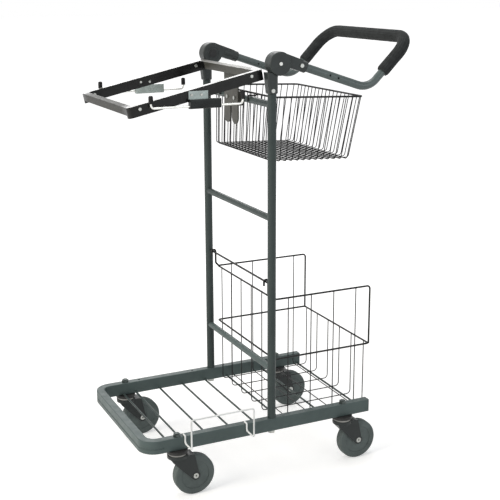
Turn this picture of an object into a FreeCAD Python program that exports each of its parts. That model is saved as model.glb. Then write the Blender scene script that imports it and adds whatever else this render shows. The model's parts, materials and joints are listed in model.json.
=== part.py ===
import FreeCAD, Part
import math
import os

# Cleaning cart: wheeled base, two uprights, folding handle, tilted bag frame and two wire baskets.
# Millimetres, +Z up, floor at z = 0. X = 0 is the plane of the uprights, +X points to the handle.
# Y = 0 is the plane of symmetry; left is -Y, as seen by the person who pushes the cart.

V = FreeCAD.Vector

# Base frame, bent from one rectangular tube
BASE_HALF = 195.0
BASE_FRONT = -332.0
BASE_REAR = 268.0
BASE_CORNER_R = 42.0
RAIL_W = 20.0
RAIL_H = 32.0
RAIL_WALL = 2.0
RAIL_Z = 120.0
RAIL_EDGE_R = 1.5
GROOVE_W = 5.0
GROOVE_DEPTH = 1.0
GROOVE_DROP = 19.0
GROOVE_RUN = 8.0
END_CAP_T = 2.0
END_CAP_PLUG = 14.0
DECK_WIRE_D = 5.0
DECK_WIRE_RISE = 4.0
DECK_FRONT_X = -255.0
DECK_FIRST_X = -221.0
DECK_PITCH = 66.0
DECK_COUNT = 5
DECK_REAR_X = 152.0
DECK_LAST_X = 261.0
SPARE_HOLE_X = [-208.0, -55.0]
SOCKET_HOLE_D = 6.0

# Uprights and the bars between them
UPRIGHT_D = 20.0
UPRIGHT_WALL = 1.5
UPRIGHT_PLUG = 14.0
UPRIGHT_BOLT_D = 8.0
CROSS_BAR_D = 16.0
CROSS_BAR_WALL = 1.2
CROSS_BAR_Z = {"top": 907.0, "middle": 645.0, "lower": 277.0}
HANGER_ROD_D = 5.0
HANGER_RISE = 43.0

# Casters, all four alike and trailing towards the handle
WHEEL_D = 100.0
WHEEL_W = 24.0
WHEEL_SHOULDER_R = 5.0
WHEEL_DISC_D = 70.0
WHEEL_DISC_RECESS = 1.2
WHEEL_BOSS_D = 26.0
CASTER_TRAIL = 40.0
CASTER_X = {"front": -246.0, "rear": 198.5}
CASTER_TOP_D = 50.0
CASTER_TOP_H = 6.5
CASTER_RACE_D = 45.0
CASTER_RACE_H = 5.0
CASTER_HEAD_D = 48.0
CASTER_HEAD_H = 8.0
CASTER_STEM_D = 10.0
STEM_BELOW_HEAD = 3.0
STEM_SHORT_OF_NUT = 1.0
FORK_LEG_T = 2.5
FORK_SIDE_GAP = 1.5
FORK_CROWN_GAP = 3.0
FORK_EYE_R = 11.0
FORK_NOSE_IN = 4.0
FORK_NOSE_RISE = 2.0
FORK_CHIN_IN = 8.0
FORK_CHIN_DROP = 7.0
FORK_TAIL_IN = 2.0
FORK_TAIL_RISE = 4.0
FORK_BACK_IN = 10.0
FORK_BACK_RISE = 6.0
AXLE_D = 8.0
AXLE_HEAD_D = 13.0
AXLE_HEAD_H = 1.5
AXLE_DIMPLE_D = 4.0
AXLE_DIMPLE_DEPTH = 5.5
NUT_R = 9.0
NUT_H = 6.5
NUT_DOME_D = 10.8
NUT_DOME_H = 2.0

# Folding hinge at the top of each upright; the handle folds down behind the uprights
HINGE_X = 13.0
HINGE_Z = 998.0
DRUM_R = 26.5
DRUM_INNER = 12.5
DRUM_OUTER = 18.5
DRUM_ROUND = 3.0
LUG_R = 22.0
LUG_T = 12.0
LUG_SPACE = 2.5
LUG_WEB_X = (-6.0, 12.0)
COVER_OPEN_DEG = (216.0, 345.0)
COVER_OPEN_R = 29.5
SLEEVE_HALF = 13.0
SLEEVE_SHOULDER = 19.0
SLEEVE_DROP = 66.5
SLEEVE_FRONT = 17.0
SLEEVE_FRONT_FOOT = 11.8
SLEEVE_ROUND = 6.0
SLEEVE_FOOT_R = 2.5
SLEEVE_ROOF = 6.0
SLEEVE_SCREW_X = -4.0
SLEEVE_SCREW_RISE = 7.5
SLEEVE_SCREW_REACH = 6.0
PIVOT_D = 8.0
PIVOT_PROUD = 0.8
BUTTON_D = 20.0
BUTTON_H = 1.2
BUTTON_RING_D = (27.0, 31.0)
BUTTON_RING_DEPTH = 0.8
SOCKET_R = 13.0
SOCKET_END_X = 83.0
YOKE_TOP_LEAN = 8.0
YOKE_SCREW_X = 68.0
YOKE_SCREW_REACH = 9.0
SCREW_D = 5.0
SCREW_HEAD_D = 9.0
SCREW_HEAD_H = 2.5

# Handle tube and its foam grip
HANDLE_D = 19.0
HANDLE_WALL = 1.5
HANDLE_START_X = 46.0
HANDLE_LOW_X = 247.0
HANDLE_LOW_DROP = 66.0
HANDLE_LOW_SPREAD = 5.0
HANDLE_HIGH_X = 359.5
HANDLE_HIGH_RISE = 48.0
HANDLE_HIGH_SPREAD = 9.0
HANDLE_SLOPE = 0.333
HANDLE_LOW_R = 45.0
HANDLE_HIGH_R = 50.0
HANDLE_HOLE_D = 5.0
HANDLE_HOLE_X = [143.0, 164.0]
GRIP_D = 30.0
GRIP_FROM_X = 283.0

# Bag frame, given flat and then tilted; its own X = 0 is the rear edge and its Z = 0 the top
BAG_TILT = 12.4
BAG_REAR_X = -18.0
BAG_RISE = 78.0
BAG_LENGTH = 324.0
BAG_SIDE_GAP = 16.0
BAG_BAR_W = 14.0
BAG_SIDE_H = 24.0
BAG_END_H = 18.0
BAG_WALL = 2.0
BAG_CORNER_R = 10.0
BAG_EAR_L = 28.0
BAG_EAR_T = 2.0
BAG_EAR_INSET = 2.0
BAG_RIVET_IN = 27.0
BAG_PIVOT_BEHIND = 6.0
BAG_PIVOT_DROP = 32.0
BAG_TAB_T = 3.5
BAG_TAB_ROOT = 2.0
BAG_KNUCKLE_R = 6.0
BAG_KNUCKLE_HALF = 18.0
BAG_PIN_D = 6.0
RIVET_D = 4.0
RIVET_HEAD_D = 7.0
RIVET_HEAD_H = 1.6

# Bracket that carries the bag frame on the top cross-bar
BRACKET_T = 3.0
BRACKET_HALF = 39.0
BRACKET_STAND_OFF = 6.0
BRACKET_RISE = 55.0
BRACKET_FALL = 21.0
BRACKET_FLANGE = 10.0
BRACKET_FLANGE_INSET = 4.0
BRACKET_EAR_T = 4.0
BRACKET_EAR_R = 7.0
BRACKET_EAR_ROOT = 27.0
BRACKET_BOLT_Y = 20.0
FINGER_L = 41.0
FINGER_GAP = 8.0

# Bag clamps, one on the outer face of each side bar
CLAMP_X = (-195.0, -149.0)
CLAMP_TOP_DROP = 40.0
CLAMP_PLATE_T = 2.5
CLAMP_BARREL_END = -122.0
CLAMP_BARREL_T = 10.5
CLAMP_BARREL_H = 21.0
CLAMP_BARREL_BELOW = 6.0
CLAMP_BARREL_ROUND = 4.2
CLAMP_WIRE_D = 5.0
CLAMP_WIRE_X = (-284.0, -68.0)
CLAMP_WIRE_DROP = 72.0
CLAMP_WIRE_RISE = 23.0
CLAMP_BEND_R = 8.0
CLAMP_TIP_D = 10.0
CLAMP_TIP_L = 17.0
CLAMP_TIP_CAP = 4.0
CLAMP_TIP_CHAMFER = 2.0
CLAMP_SCREW_X = (-188.0, -165.0)
CLAMP_SCREW_DROP = 48.5
CLAMP_RIVET_HEAD_D = 5.5

# Upper basket, given level with its front rim at the origin and then tilted
UPPER_X = 14.6
UPPER_RISE = 13.5
UPPER_TILT = 2.3
UPPER_RIM_DEPTH = 235.0
UPPER_SIDE_GAP = 20.0
UPPER_SIDE_LEAN = 7.0
UPPER_REAR_LEAN = 22.0
UPPER_WALL_H = 143.0
UPPER_RIM_D = 5.0
UPPER_RIM_R = 10.0
UPPER_WIRE = 2.4
UPPER_PITCH = 18.6
UPPER_HOOK_IN = 85.0
UPPER_HOOK_D = 4.0
UPPER_HOOK_R = 4.0
UPPER_HOOK_LIP = 13.0

# Lower basket
LOWER_X = (17.0, 281.0)
LOWER_SIDE_GAP = 17.0
LOWER_TOP_Z = 443.0
LOWER_MID_Z = 292.0
LOWER_RIM_D = 5.4
LOWER_RIM_R = 8.0
LOWER_MID_R = 6.0
LOWER_WIRE = 2.6
LOWER_LONG_IN = 18.0
LOWER_LONG_COUNT = 6
LOWER_CROSS_IN = 38.0
LOWER_CROSS_COUNT = 4
LOWER_HOOK_IN = 13.0
LOWER_HOOK_D = 5.0
LOWER_HOOK_R = 10.0
LOWER_HOOK_NECK = 30.0
LOWER_HOOK_LIP = 15.0

# Wire holder on the left rail
HOLDER_D = 4.0
HOLDER_X = (-230.0, -72.0)
HOLDER_OUT = 40.0
HOLDER_LOW_Z = 136.0
HOLDER_TOP_Z = 209.0
HOLDER_BEND_R = 6.0
HOLDER_TIGHT_R = 2.6
HOLDER_PIN_DEPTH = 8.0

# Fits
RUN_FIT = 0.05
WELD_FIT = 0.03
MOVE_GAP = 0.4
PANEL_GAP = 0.5
CORNER_GAP = 2.0
OVERCUT = 5.0
PAST = 1.0
ALIGNED = 0.01

# Derived places
RAIL_TOP = RAIL_Z + RAIL_H
RAIL_Y = BASE_HALF - RAIL_W / 2
RAIL_INNER = BASE_HALF - RAIL_W
DECK_Z = RAIL_Z + DECK_WIRE_RISE
SLEEVE_Z = HINGE_Z - SLEEVE_DROP
SLEEVE_TOP = HINGE_Z - SLEEVE_SHOULDER
UPRIGHT_TOP = HINGE_Z - DRUM_R - SLEEVE_ROOF
ARM_Y = RAIL_Y
HANDLE_LOW = V(HANDLE_LOW_X, ARM_Y + HANDLE_LOW_SPREAD, HINGE_Z - HANDLE_LOW_DROP)
HANDLE_HIGH = V(HANDLE_HIGH_X, ARM_Y + HANDLE_HIGH_SPREAD, HINGE_Z + HANDLE_HIGH_RISE)
HANGER_ROD_Z = LOWER_TOP_Z + HANGER_RISE
BAG_HALF = RAIL_Y - BAG_SIDE_GAP
BAG_TOP_Z = CROSS_BAR_Z["top"] + BAG_RISE
BRACKET_TOP = CROSS_BAR_Z["top"] + BRACKET_RISE
BRACKET_FOOT = CROSS_BAR_Z["top"] - BRACKET_FALL
BRACKET_BACK = -CROSS_BAR_D / 2 - BRACKET_STAND_OFF
CLAMP_TOP = BAG_TOP_Z - CLAMP_TOP_DROP
CLAMP_WIRE_Z = BAG_TOP_Z - CLAMP_WIRE_DROP
CLAMP_SCREW_Z = BAG_TOP_Z - CLAMP_SCREW_DROP
UPPER_Z = CROSS_BAR_Z["top"] + UPPER_RISE
UPPER_RIM_HALF = RAIL_Y - UPPER_SIDE_GAP
UPPER_FLOOR_HALF = UPPER_RIM_HALF - UPPER_SIDE_LEAN
UPPER_FLOOR_DEPTH = UPPER_RIM_DEPTH - UPPER_REAR_LEAN
UPPER_HOOK_Y = UPPER_RIM_HALF - UPPER_HOOK_IN
LOWER_HALF = RAIL_Y - LOWER_SIDE_GAP
LOWER_HOOK_Y = LOWER_HALF - LOWER_HOOK_IN


def line(a, b):
    return Part.makeLine(a, b)


def arc(a, middle, b):
    return Part.Arc(a, middle, b).toShape()


def box(x0, x1, y0, y1, z0, z1):
    return Part.makeBox(x1 - x0, y1 - y0, z1 - z0, V(x0, y0, z0))


def rod(a, b, radius):
    return Part.makeCylinder(radius, (b - a).Length, a, b - a)


def rod_y(x, z, y0, y1, radius):
    return rod(V(x, y0, z), V(x, y1, z), radius)


def rod_z(x, y, z0, z1, radius):
    return rod(V(x, y, z0), V(x, y, z1), radius)


def prism_y(points, y0, y1):
    corners = [V(x, y0, z) for x, z in points]
    face = Part.Face(Part.makePolygon(corners + corners[:1]))
    return face.extrude(V(0, y1 - y0, 0))


def hex_nut(x, y, z0, z1, radius):
    corners = [V(x + radius * math.cos(k * math.pi / 3), y + radius * math.sin(k * math.pi / 3), z0)
               for k in range(6)]
    return Part.Face(Part.makePolygon(corners + corners[:1])).extrude(V(0, 0, z1 - z0))


def mirrored(shape):
    return shape.mirror(V(0, 0, 0), V(0, 1, 0))


def fused(*solids):
    return solids[0].fuse(list(solids[1:])).removeSplitter()


def bent_wire(points, radii):
    """A wire through the points, each inner corner turned on its own radius."""
    edges = []
    start = points[0]
    for before, corner, after, radius in zip(points, points[1:], points[2:], radii):
        into = (corner - before).normalize()
        out = (after - corner).normalize()
        turn = into.getAngle(out)
        setback = radius * math.tan(turn / 2)
        middle = corner + (out - into).normalize() * (radius / math.cos(turn / 2) - radius)
        edges.append(line(start, corner - into * setback))
        edges.append(arc(corner - into * setback, middle, corner + out * setback))
        start = corner + out * setback
    edges.append(line(start, points[-1]))
    return Part.Wire(edges)


def swept(wire, radius):
    first = wire.Edges[0]
    start = first.valueAt(first.FirstParameter)
    along = first.tangentAt(first.FirstParameter)
    ring = Part.Wire([Part.makeCircle(radius, start, along)])
    return wire.makePipeShell([ring], True, False)


def ring_wire(x0, x1, half, z, corner_r):
    """A closed rectangle with round corners that starts in the middle of its rear side."""
    corners = [V(x1, 0, z), V(x1, half, z), V(x0, half, z), V(x0, -half, z), V(x1, -half, z), V(x1, 0, z)]
    return bent_wire(corners, [corner_r] * 4)


def evenly(first, last, count):
    return [first + (last - first) * i / (count - 1) for i in range(count)]


def grille(top, bottom, height, bars, rails, wire):
    """A flat welded panel of square wire that hangs from z = 0 in the XZ plane, wire thick in Y.

    Bars are given along the top edge and lean as the two side edges do.
    """
    def edge(k, z):
        return top[k] + (bottom[k] - top[k]) * (-z / height)

    def slot_side(k, column, z):
        if column < 0:
            return edge(0, z) + wire
        if column == len(bars):
            return edge(1, z) - wire
        share = (bars[column] - top[0]) / (top[1] - top[0])
        centre = edge(0, z) + (edge(1, z) - edge(0, z)) * share
        return centre + (wire / 2 if k == 0 else -wire / 2)

    outline = [(top[0], 0), (top[1], 0), (bottom[1], -height), (bottom[0], -height)]
    levels = [-wire / 2] + rails + [wire / 2 - height]
    slots = []
    for upper, lower in zip(levels, levels[1:]):
        high = upper - wire / 2
        low = lower + wire / 2
        for column in range(len(bars) + 1):
            slot = [(slot_side(0, column - 1, high), high), (slot_side(1, column, high), high),
                    (slot_side(1, column, low), low), (slot_side(0, column - 1, low), low)]
            slots.append(prism_y(slot, -OVERCUT, wire + OVERCUT))
    return prism_y(outline, 0, wire).cut(slots)


def across(panel):
    """Turns a panel so that it runs along Y, its thickness towards the front."""
    panel.rotate(V(0, 0, 0), V(0, 0, 1), 90)
    return panel


def laid_flat(panel):
    """Turns a panel to a floor that runs back from x = 0, its thickness upward."""
    panel.rotate(V(0, 0, 0), V(1, 0, 0), 90)
    panel.rotate(V(0, 0, 0), V(0, 0, 1), -90)


def edges_along(shape, axis):
    """Straight edges that run along an axis."""
    return [e for e in shape.Edges if e.tangentAt(e.FirstParameter).cross(axis).Length < ALIGNED]


def moved(shape, x, y, z):
    shape.translate(V(x, y, z))
    return shape


def both_sides(make):
    right = make()
    return mirrored(right), right


def round_front_slab(x0, x1, half, corner_r, z0, z1):
    cut = corner_r * (1 - math.sqrt(0.5))
    right = [V(x1, half, z0), V(x0 + corner_r, half, z0), V(x0 + cut, half - cut, z0),
             V(x0, half - corner_r, z0)]
    left = [V(p.x, -p.y, p.z) for p in right]
    outline = [line(right[0], right[1]), arc(right[1], right[2], right[3]), line(right[3], left[3]),
               arc(left[3], left[2], left[1]), line(left[1], left[0]), line(left[0], right[0])]
    return Part.Face(Part.Wire(outline)).extrude(V(0, 0, z1 - z0))


def rail_loop(inset, x1, z0, z1):
    """The U of the base rail, its four faces moved inward by the inset."""
    outer = round_front_slab(BASE_FRONT + inset, x1, BASE_HALF - inset, BASE_CORNER_R - inset, z0, z1)
    inner = round_front_slab(BASE_FRONT + RAIL_W - inset, x1 + OVERCUT, RAIL_INNER + inset,
                             BASE_CORNER_R - RAIL_W + inset, z0, z1)
    return outer.cut(inner)


def base_frame():
    rail = rail_loop(0, BASE_REAR, RAIL_Z, RAIL_TOP)
    long_edges = [e for e in rail.Edges if abs(e.tangentAt(e.FirstParameter).z) < 0.1
                  and e.CenterOfMass.x < BASE_REAR - PAST]
    rail = rail.makeFillet(RAIL_EDGE_R, long_edges)
    bore = rail_loop(RAIL_WALL, BASE_REAR + OVERCUT, RAIL_Z + RAIL_WALL, RAIL_TOP - RAIL_WALL)
    groove_z = RAIL_TOP - GROOVE_DROP
    bend_end = BASE_FRONT + BASE_CORNER_R + GROOVE_RUN
    groove = round_front_slab(BASE_FRONT - OVERCUT, bend_end, BASE_HALF + OVERCUT,
                              BASE_CORNER_R + OVERCUT, groove_z - GROOVE_W / 2, groove_z + GROOVE_W / 2)
    core = round_front_slab(BASE_FRONT + GROOVE_DEPTH, bend_end, BASE_HALF - GROOVE_DEPTH,
                            BASE_CORNER_R - GROOVE_DEPTH, RAIL_Z, RAIL_TOP)
    cuts = [bore, groove.cut(core)]
    for side in (-1, 1):
        cuts.append(rod_z(0, side * RAIL_Y, RAIL_Z - PAST, RAIL_TOP + PAST, UPRIGHT_BOLT_D / 2 + RUN_FIT))
        for x in CASTER_X.values():
            cuts.append(rod_z(x, side * RAIL_Y, RAIL_Z - PAST, RAIL_TOP + PAST, CASTER_STEM_D / 2 + RUN_FIT))
    wall_z = RAIL_TOP - RAIL_WALL - PAST
    cuts += [rod_z(x, RAIL_Y, wall_z, RAIL_TOP + PAST, SOCKET_HOLE_D / 2) for x in SPARE_HOLE_X]
    cuts += [rod_z(x, -RAIL_Y, wall_z, RAIL_TOP + PAST, SOCKET_HOLE_D / 2) for x in HOLDER_X]
    return rail.cut(cuts)


def deck_wires():
    places = [DECK_FRONT_X] + [DECK_FIRST_X + DECK_PITCH * i for i in range(DECK_COUNT)]
    places += [DECK_REAR_X, DECK_LAST_X]
    return [rod_y(x, DECK_Z, -RAIL_INNER, RAIL_INNER, DECK_WIRE_D / 2) for x in places]


def rail_end_cap():
    flange = box(BASE_REAR, BASE_REAR + END_CAP_T, RAIL_INNER, BASE_HALF, RAIL_Z, RAIL_TOP)
    corners = edges_along(flange, V(1, 0, 0))
    flange = flange.makeFillet(RAIL_EDGE_R, corners)
    skin = RAIL_WALL + WELD_FIT
    plug = box(BASE_REAR - END_CAP_PLUG, BASE_REAR, RAIL_INNER + skin, BASE_HALF - skin,
               RAIL_Z + skin, RAIL_TOP - skin)
    return fused(flange, plug)


def upright():
    tube = rod_z(0, RAIL_Y, RAIL_TOP, UPRIGHT_TOP, UPRIGHT_D / 2)
    bore = rod_z(0, RAIL_Y, RAIL_TOP + UPRIGHT_PLUG, UPRIGHT_TOP + PAST, UPRIGHT_D / 2 - UPRIGHT_WALL)
    thread = rod_z(0, RAIL_Y, RAIL_TOP - PAST, RAIL_TOP + UPRIGHT_PLUG + PAST, UPRIGHT_BOLT_D / 2 + WELD_FIT)
    screw_z = SLEEVE_Z + SLEEVE_SCREW_RISE
    screw = rod_y(SLEEVE_SCREW_X, screw_z, RAIL_Y, RAIL_Y + UPRIGHT_D, SCREW_D / 2 + WELD_FIT)
    return tube.cut([bore, thread, screw])


def upright_bolt():
    head = hex_nut(0, RAIL_Y, RAIL_Z - NUT_H, RAIL_Z, NUT_R)
    shank = rod_z(0, RAIL_Y, RAIL_Z - PAST, RAIL_TOP + UPRIGHT_PLUG, UPRIGHT_BOLT_D / 2)
    return fused(head, shank)


def cross_tube(z, diameter, wall):
    """A bar between the uprights, its ends coped to their round faces."""
    bar = rod_y(0, z, -RAIL_Y, RAIL_Y, diameter / 2)
    cuts = [rod_z(0, side * RAIL_Y, z - diameter, z + diameter, UPRIGHT_D / 2 + WELD_FIT)
            for side in (-1, 1)]
    if wall:
        cuts.append(rod_y(0, z, -RAIL_Y, RAIL_Y, diameter / 2 - wall))
    return bar.cut(cuts)


def top_cross_bar():
    z = CROSS_BAR_Z["top"]
    bolts = [rod(V(-CROSS_BAR_D, y, z), V(CROSS_BAR_D, y, z), SCREW_D / 2 + WELD_FIT)
             for y in (-BRACKET_BOLT_Y, BRACKET_BOLT_Y)]
    return cross_tube(z, CROSS_BAR_D, CROSS_BAR_WALL).cut(bolts)


def caster_top(x):
    """Fixed upper half of a caster: cover disc, ball race and the stem through the rail."""
    race_top = RAIL_Z - CASTER_TOP_H
    race_foot = race_top - CASTER_RACE_H
    disc = rod_z(x, RAIL_Y, race_top, RAIL_Z, CASTER_TOP_D / 2)
    race = rod_z(x, RAIL_Y, race_foot, race_top, CASTER_RACE_D / 2)
    stem = rod_z(x, RAIL_Y, race_foot - CASTER_HEAD_H - STEM_BELOW_HEAD, RAIL_TOP + NUT_H - STEM_SHORT_OF_NUT,
                 CASTER_STEM_D / 2)
    return fused(disc, race, stem)


def caster_nut(x):
    nut = hex_nut(x, RAIL_Y, RAIL_TOP, RAIL_TOP + NUT_H, NUT_R)
    dome = rod_z(x, RAIL_Y, RAIL_TOP + NUT_H, RAIL_TOP + NUT_H + NUT_DOME_H, NUT_DOME_D / 2)
    bore = rod_z(x, RAIL_Y, RAIL_TOP - PAST, RAIL_TOP + NUT_H - STEM_SHORT_OF_NUT + WELD_FIT,
                 CASTER_STEM_D / 2 + WELD_FIT)
    return fused(nut, dome).cut(bore)


def caster_fork(x):
    """Pressed fork: round head, closed crown over the wheel and two legs that taper to the axle."""
    wheel_r = WHEEL_D / 2
    head_top = RAIL_Z - CASTER_TOP_H - CASTER_RACE_H - MOVE_GAP
    head_foot = head_top - CASTER_HEAD_H
    half = WHEEL_W / 2 + FORK_SIDE_GAP + FORK_LEG_T
    head_r = CASTER_HEAD_D / 2
    axle_x = CASTER_TRAIL
    reach = FORK_EYE_R * math.sqrt(0.5)
    side = [(FORK_NOSE_IN - head_r, head_foot + FORK_NOSE_RISE),
            (FORK_CHIN_IN - head_r, head_foot - FORK_CHIN_DROP),
            (axle_x - reach, wheel_r - reach), (axle_x + reach, wheel_r + reach),
            (axle_x - FORK_TAIL_IN, head_foot + FORK_TAIL_RISE),
            (axle_x - FORK_BACK_IN, head_foot + FORK_BACK_RISE)]
    body = fused(prism_y(side, -half, half), rod_y(axle_x, wheel_r, -half, half, FORK_EYE_R),
                 rod_z(0, 0, head_foot, head_top, head_r))
    slot_half = half - FORK_LEG_T
    body = body.cut([
        rod_y(axle_x, wheel_r, -slot_half, slot_half, wheel_r + FORK_CROWN_GAP),
        rod_y(axle_x, wheel_r, -half - PAST, half + PAST, AXLE_D / 2 + WELD_FIT),
        rod_z(0, 0, 0, head_top + PAST, CASTER_STEM_D / 2 + RUN_FIT),
    ])
    return moved(body, x, RAIL_Y, 0)


def wheel(x):
    """Solid tyre and disc turned as one, with a shallow recess in each face round the boss."""
    half = WHEEL_W / 2
    tyre_r = WHEEL_D / 2
    disc_r = WHEEL_DISC_D / 2
    boss_r = WHEEL_BOSS_D / 2
    bore_r = AXLE_D / 2 + RUN_FIT
    sunk = half - WHEEL_DISC_RECESS
    tread = half - WHEEL_SHOULDER_R
    bend = WHEEL_SHOULDER_R * math.sqrt(0.5)
    flank = [V(bore_r, half, 0), V(boss_r, half, 0), V(boss_r, sunk, 0), V(disc_r, sunk, 0),
             V(disc_r, half, 0),
             V(tyre_r - WHEEL_SHOULDER_R, half, 0)]
    shoulder = [flank[-1], V(tyre_r - WHEEL_SHOULDER_R + bend, tread + bend, 0), V(tyre_r, tread, 0)]
    edges = []
    for sign in (1, -1):
        corners = [V(p.x, sign * p.y, 0) for p in flank]
        edges += [line(a, b) for a, b in zip(corners, corners[1:])]
        edges.append(arc(*[V(p.x, sign * p.y, 0) for p in shoulder]))
    edges.append(line(V(tyre_r, -tread, 0), V(tyre_r, tread, 0)))
    edges.append(line(V(bore_r, -half, 0), V(bore_r, half, 0)))
    face = Part.Face(Part.Wire(Part.__sortEdges__(edges)))
    body = face.revolve(V(0, 0, 0), V(0, 1, 0), 360)
    return moved(body, x + CASTER_TRAIL, RAIL_Y, tyre_r)


def axle(x):
    """Hollow rivet through the fork legs, its ends flared over them."""
    half = WHEEL_W / 2 + FORK_SIDE_GAP + FORK_LEG_T
    end = half + AXLE_HEAD_H
    centre = V(x + CASTER_TRAIL, RAIL_Y, WHEEL_D / 2)
    shank = rod_y(0, 0, -half, half, AXLE_D / 2)
    heads = [rod_y(0, 0, half, end, AXLE_HEAD_D / 2), rod_y(0, 0, -end, -half, AXLE_HEAD_D / 2)]
    floor = end - AXLE_DIMPLE_DEPTH
    dimples = [rod_y(0, 0, floor, end + PAST, AXLE_DIMPLE_D / 2),
               rod_y(0, 0, -end - PAST, -floor, AXLE_DIMPLE_D / 2)]
    return moved(fused(shank, *heads).cut(dimples), centre.x, centre.y, centre.z)


def hinge_sleeve():
    """Sleeve over the upright's end, hollowed round the yoke's drum, with the lug that the yoke turns on."""
    half = SLEEVE_HALF
    profile = [(-SLEEVE_FRONT_FOOT, SLEEVE_Z), (0, SLEEVE_Z), (0, SLEEVE_TOP), (-SLEEVE_FRONT, SLEEVE_TOP)]
    block = prism_y(profile, RAIL_Y - half, RAIL_Y + half)
    slant = V(SLEEVE_FRONT_FOOT - SLEEVE_FRONT, 0, SLEEVE_TOP - SLEEVE_Z).normalize()
    front_edges = edges_along(block, slant)
    body = fused(block.makeFillet(SLEEVE_ROUND, front_edges), rod_z(0, RAIL_Y, SLEEVE_Z, SLEEVE_TOP, half))
    foot = [e for e in body.Edges if e.BoundBox.ZMax < SLEEVE_Z + MOVE_GAP]
    body = body.makeFillet(SLEEVE_FOOT_R, foot)
    hollow = rod_y(HINGE_X, HINGE_Z, RAIL_Y - 2 * half, RAIL_Y + 2 * half, DRUM_R + MOVE_GAP)
    lug_y0 = ARM_Y - LUG_T / 2
    lug_y1 = ARM_Y + LUG_T / 2
    lug = rod_y(HINGE_X, HINGE_Z, lug_y0, lug_y1, LUG_R)
    web = box(*LUG_WEB_X, lug_y0, lug_y1, UPRIGHT_TOP + SLEEVE_ROOF / 2, HINGE_Z)
    bore = rod_z(0, RAIL_Y, SLEEVE_Z - PAST, UPRIGHT_TOP, UPRIGHT_D / 2 + WELD_FIT)
    pivot = rod_y(HINGE_X, HINGE_Z, lug_y0 - PAST, lug_y1 + PAST, PIVOT_D / 2 + WELD_FIT)
    screw_z = SLEEVE_Z + SLEEVE_SCREW_RISE
    screw = rod_y(SLEEVE_SCREW_X, screw_z, RAIL_Y, RAIL_Y + 2 * half, SCREW_D / 2 + WELD_FIT)
    return fused(body.cut(hollow), lug, web).cut([bore, pivot, screw])


def screw_y(x, z, face_y, reach):
    """A pan-head screw driven inward from an outer face."""
    head = rod_y(x, z, face_y, face_y + SCREW_HEAD_H, SCREW_HEAD_D / 2)
    shank = rod_y(x, z, face_y - reach, face_y + PAST, SCREW_D / 2)
    return fused(head, shank)


def sleeve_screw():
    return screw_y(SLEEVE_SCREW_X, SLEEVE_Z + SLEEVE_SCREW_RISE, RAIL_Y + SLEEVE_HALF, SLEEVE_SCREW_REACH)


def pivot_pin():
    """Pin held in the lug, with a push button on its inner end."""
    button_y = ARM_Y - DRUM_INNER - MOVE_GAP
    pin = rod_y(HINGE_X, HINGE_Z, button_y - BUTTON_H, ARM_Y + DRUM_OUTER + PIVOT_PROUD, PIVOT_D / 2)
    button = rod_y(HINGE_X, HINGE_Z, button_y - BUTTON_H, button_y, BUTTON_D / 2)
    return fused(pin, button)


def arm_point(x):
    """The handle arm's centre line at a given X."""
    low = HANDLE_LOW
    share = (low.x - x) / (low.x - SOCKET_END_X)
    return V(x, low.y + (ARM_Y - low.y) * share, low.z + HANDLE_SLOPE * (low.x - x))


def hinge_sector(y0, y1):
    """The part of the yoke's slot that is open below, wide enough for the lug's web at every fold."""
    centre = V(HINGE_X, y0, HINGE_Z)
    first, last = [math.radians(angle) for angle in COVER_OPEN_DEG]
    rim = [centre + V(math.cos(angle), 0, math.sin(angle)) * COVER_OPEN_R
           for angle in (first, (first + last) / 2, last)]
    outline = Part.Wire([line(centre, rim[0]), arc(*rim), line(rim[2], centre)])
    return Part.Face(outline).extrude(V(0, y1 - y0, 0))


def button_ring(face_y):
    """The round groove that frames the push button in the yoke's inner face."""
    inside, outside = [rod_y(HINGE_X, HINGE_Z, face_y - PAST, face_y + BUTTON_RING_DEPTH, d / 2)
                       for d in BUTTON_RING_D]
    return outside.cut(inside)


def handle_yoke():
    """Moulded cover: two cheeks round the lug, closed above, running into the handle tube's socket."""
    socket_end = arm_point(SOCKET_END_X)
    root = arm_point(HANDLE_START_X)
    along = (socket_end - root).normalize()
    inner = ARM_Y - DRUM_INNER
    drum = rod_y(HINGE_X, HINGE_Z, inner, ARM_Y + DRUM_OUTER, DRUM_R)
    drum = drum.makeFillet(DRUM_ROUND, [e for e in drum.Edges if len(e.Vertexes) == 1])
    socket = rod(root, socket_end, SOCKET_R)
    upward = V(-along.z, 0, along.x)
    shoulder = socket_end - along * (SOCKET_END_X - YOKE_SCREW_X)
    lean = math.radians(YOKE_TOP_LEAN)
    top = V(HINGE_X + DRUM_R * math.sin(lean), 0, HINGE_Z + DRUM_R * math.cos(lean))
    cheek = [top, shoulder + upward * SOCKET_R, shoulder - upward * SOCKET_R,
             arm_point(HINGE_X) - upward * SOCKET_R]
    body = prism_y([(p.x, p.z) for p in cheek], inner, ARM_Y + SOCKET_R)
    slot_y0 = ARM_Y - LUG_T / 2 - MOVE_GAP
    slot_y1 = ARM_Y + LUG_T / 2 + MOVE_GAP
    cuts = [
        rod(root, socket_end + along, HANDLE_D / 2 + WELD_FIT),
        rod_y(HINGE_X, HINGE_Z, slot_y0, slot_y1, LUG_R + LUG_SPACE),
        hinge_sector(slot_y0, slot_y1),
        button_ring(inner),
        rod_y(HINGE_X, HINGE_Z, 0, 2 * ARM_Y, PIVOT_D / 2 + RUN_FIT),
        rod_y(YOKE_SCREW_X, arm_point(YOKE_SCREW_X).z, ARM_Y, 2 * ARM_Y, SCREW_D / 2 + WELD_FIT),
    ]
    return fused(drum, socket, body).cut(cuts)


def yoke_screw():
    return screw_y(YOKE_SCREW_X, arm_point(YOKE_SCREW_X).z, ARM_Y + SOCKET_R, YOKE_SCREW_REACH)


def handle_side(from_point):
    """Corner points of the handle from a point on one side to the same point on the other."""
    right = [from_point, HANDLE_HIGH]
    left = [V(p.x, -p.y, p.z) for p in reversed(right)]
    return right + left


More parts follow.
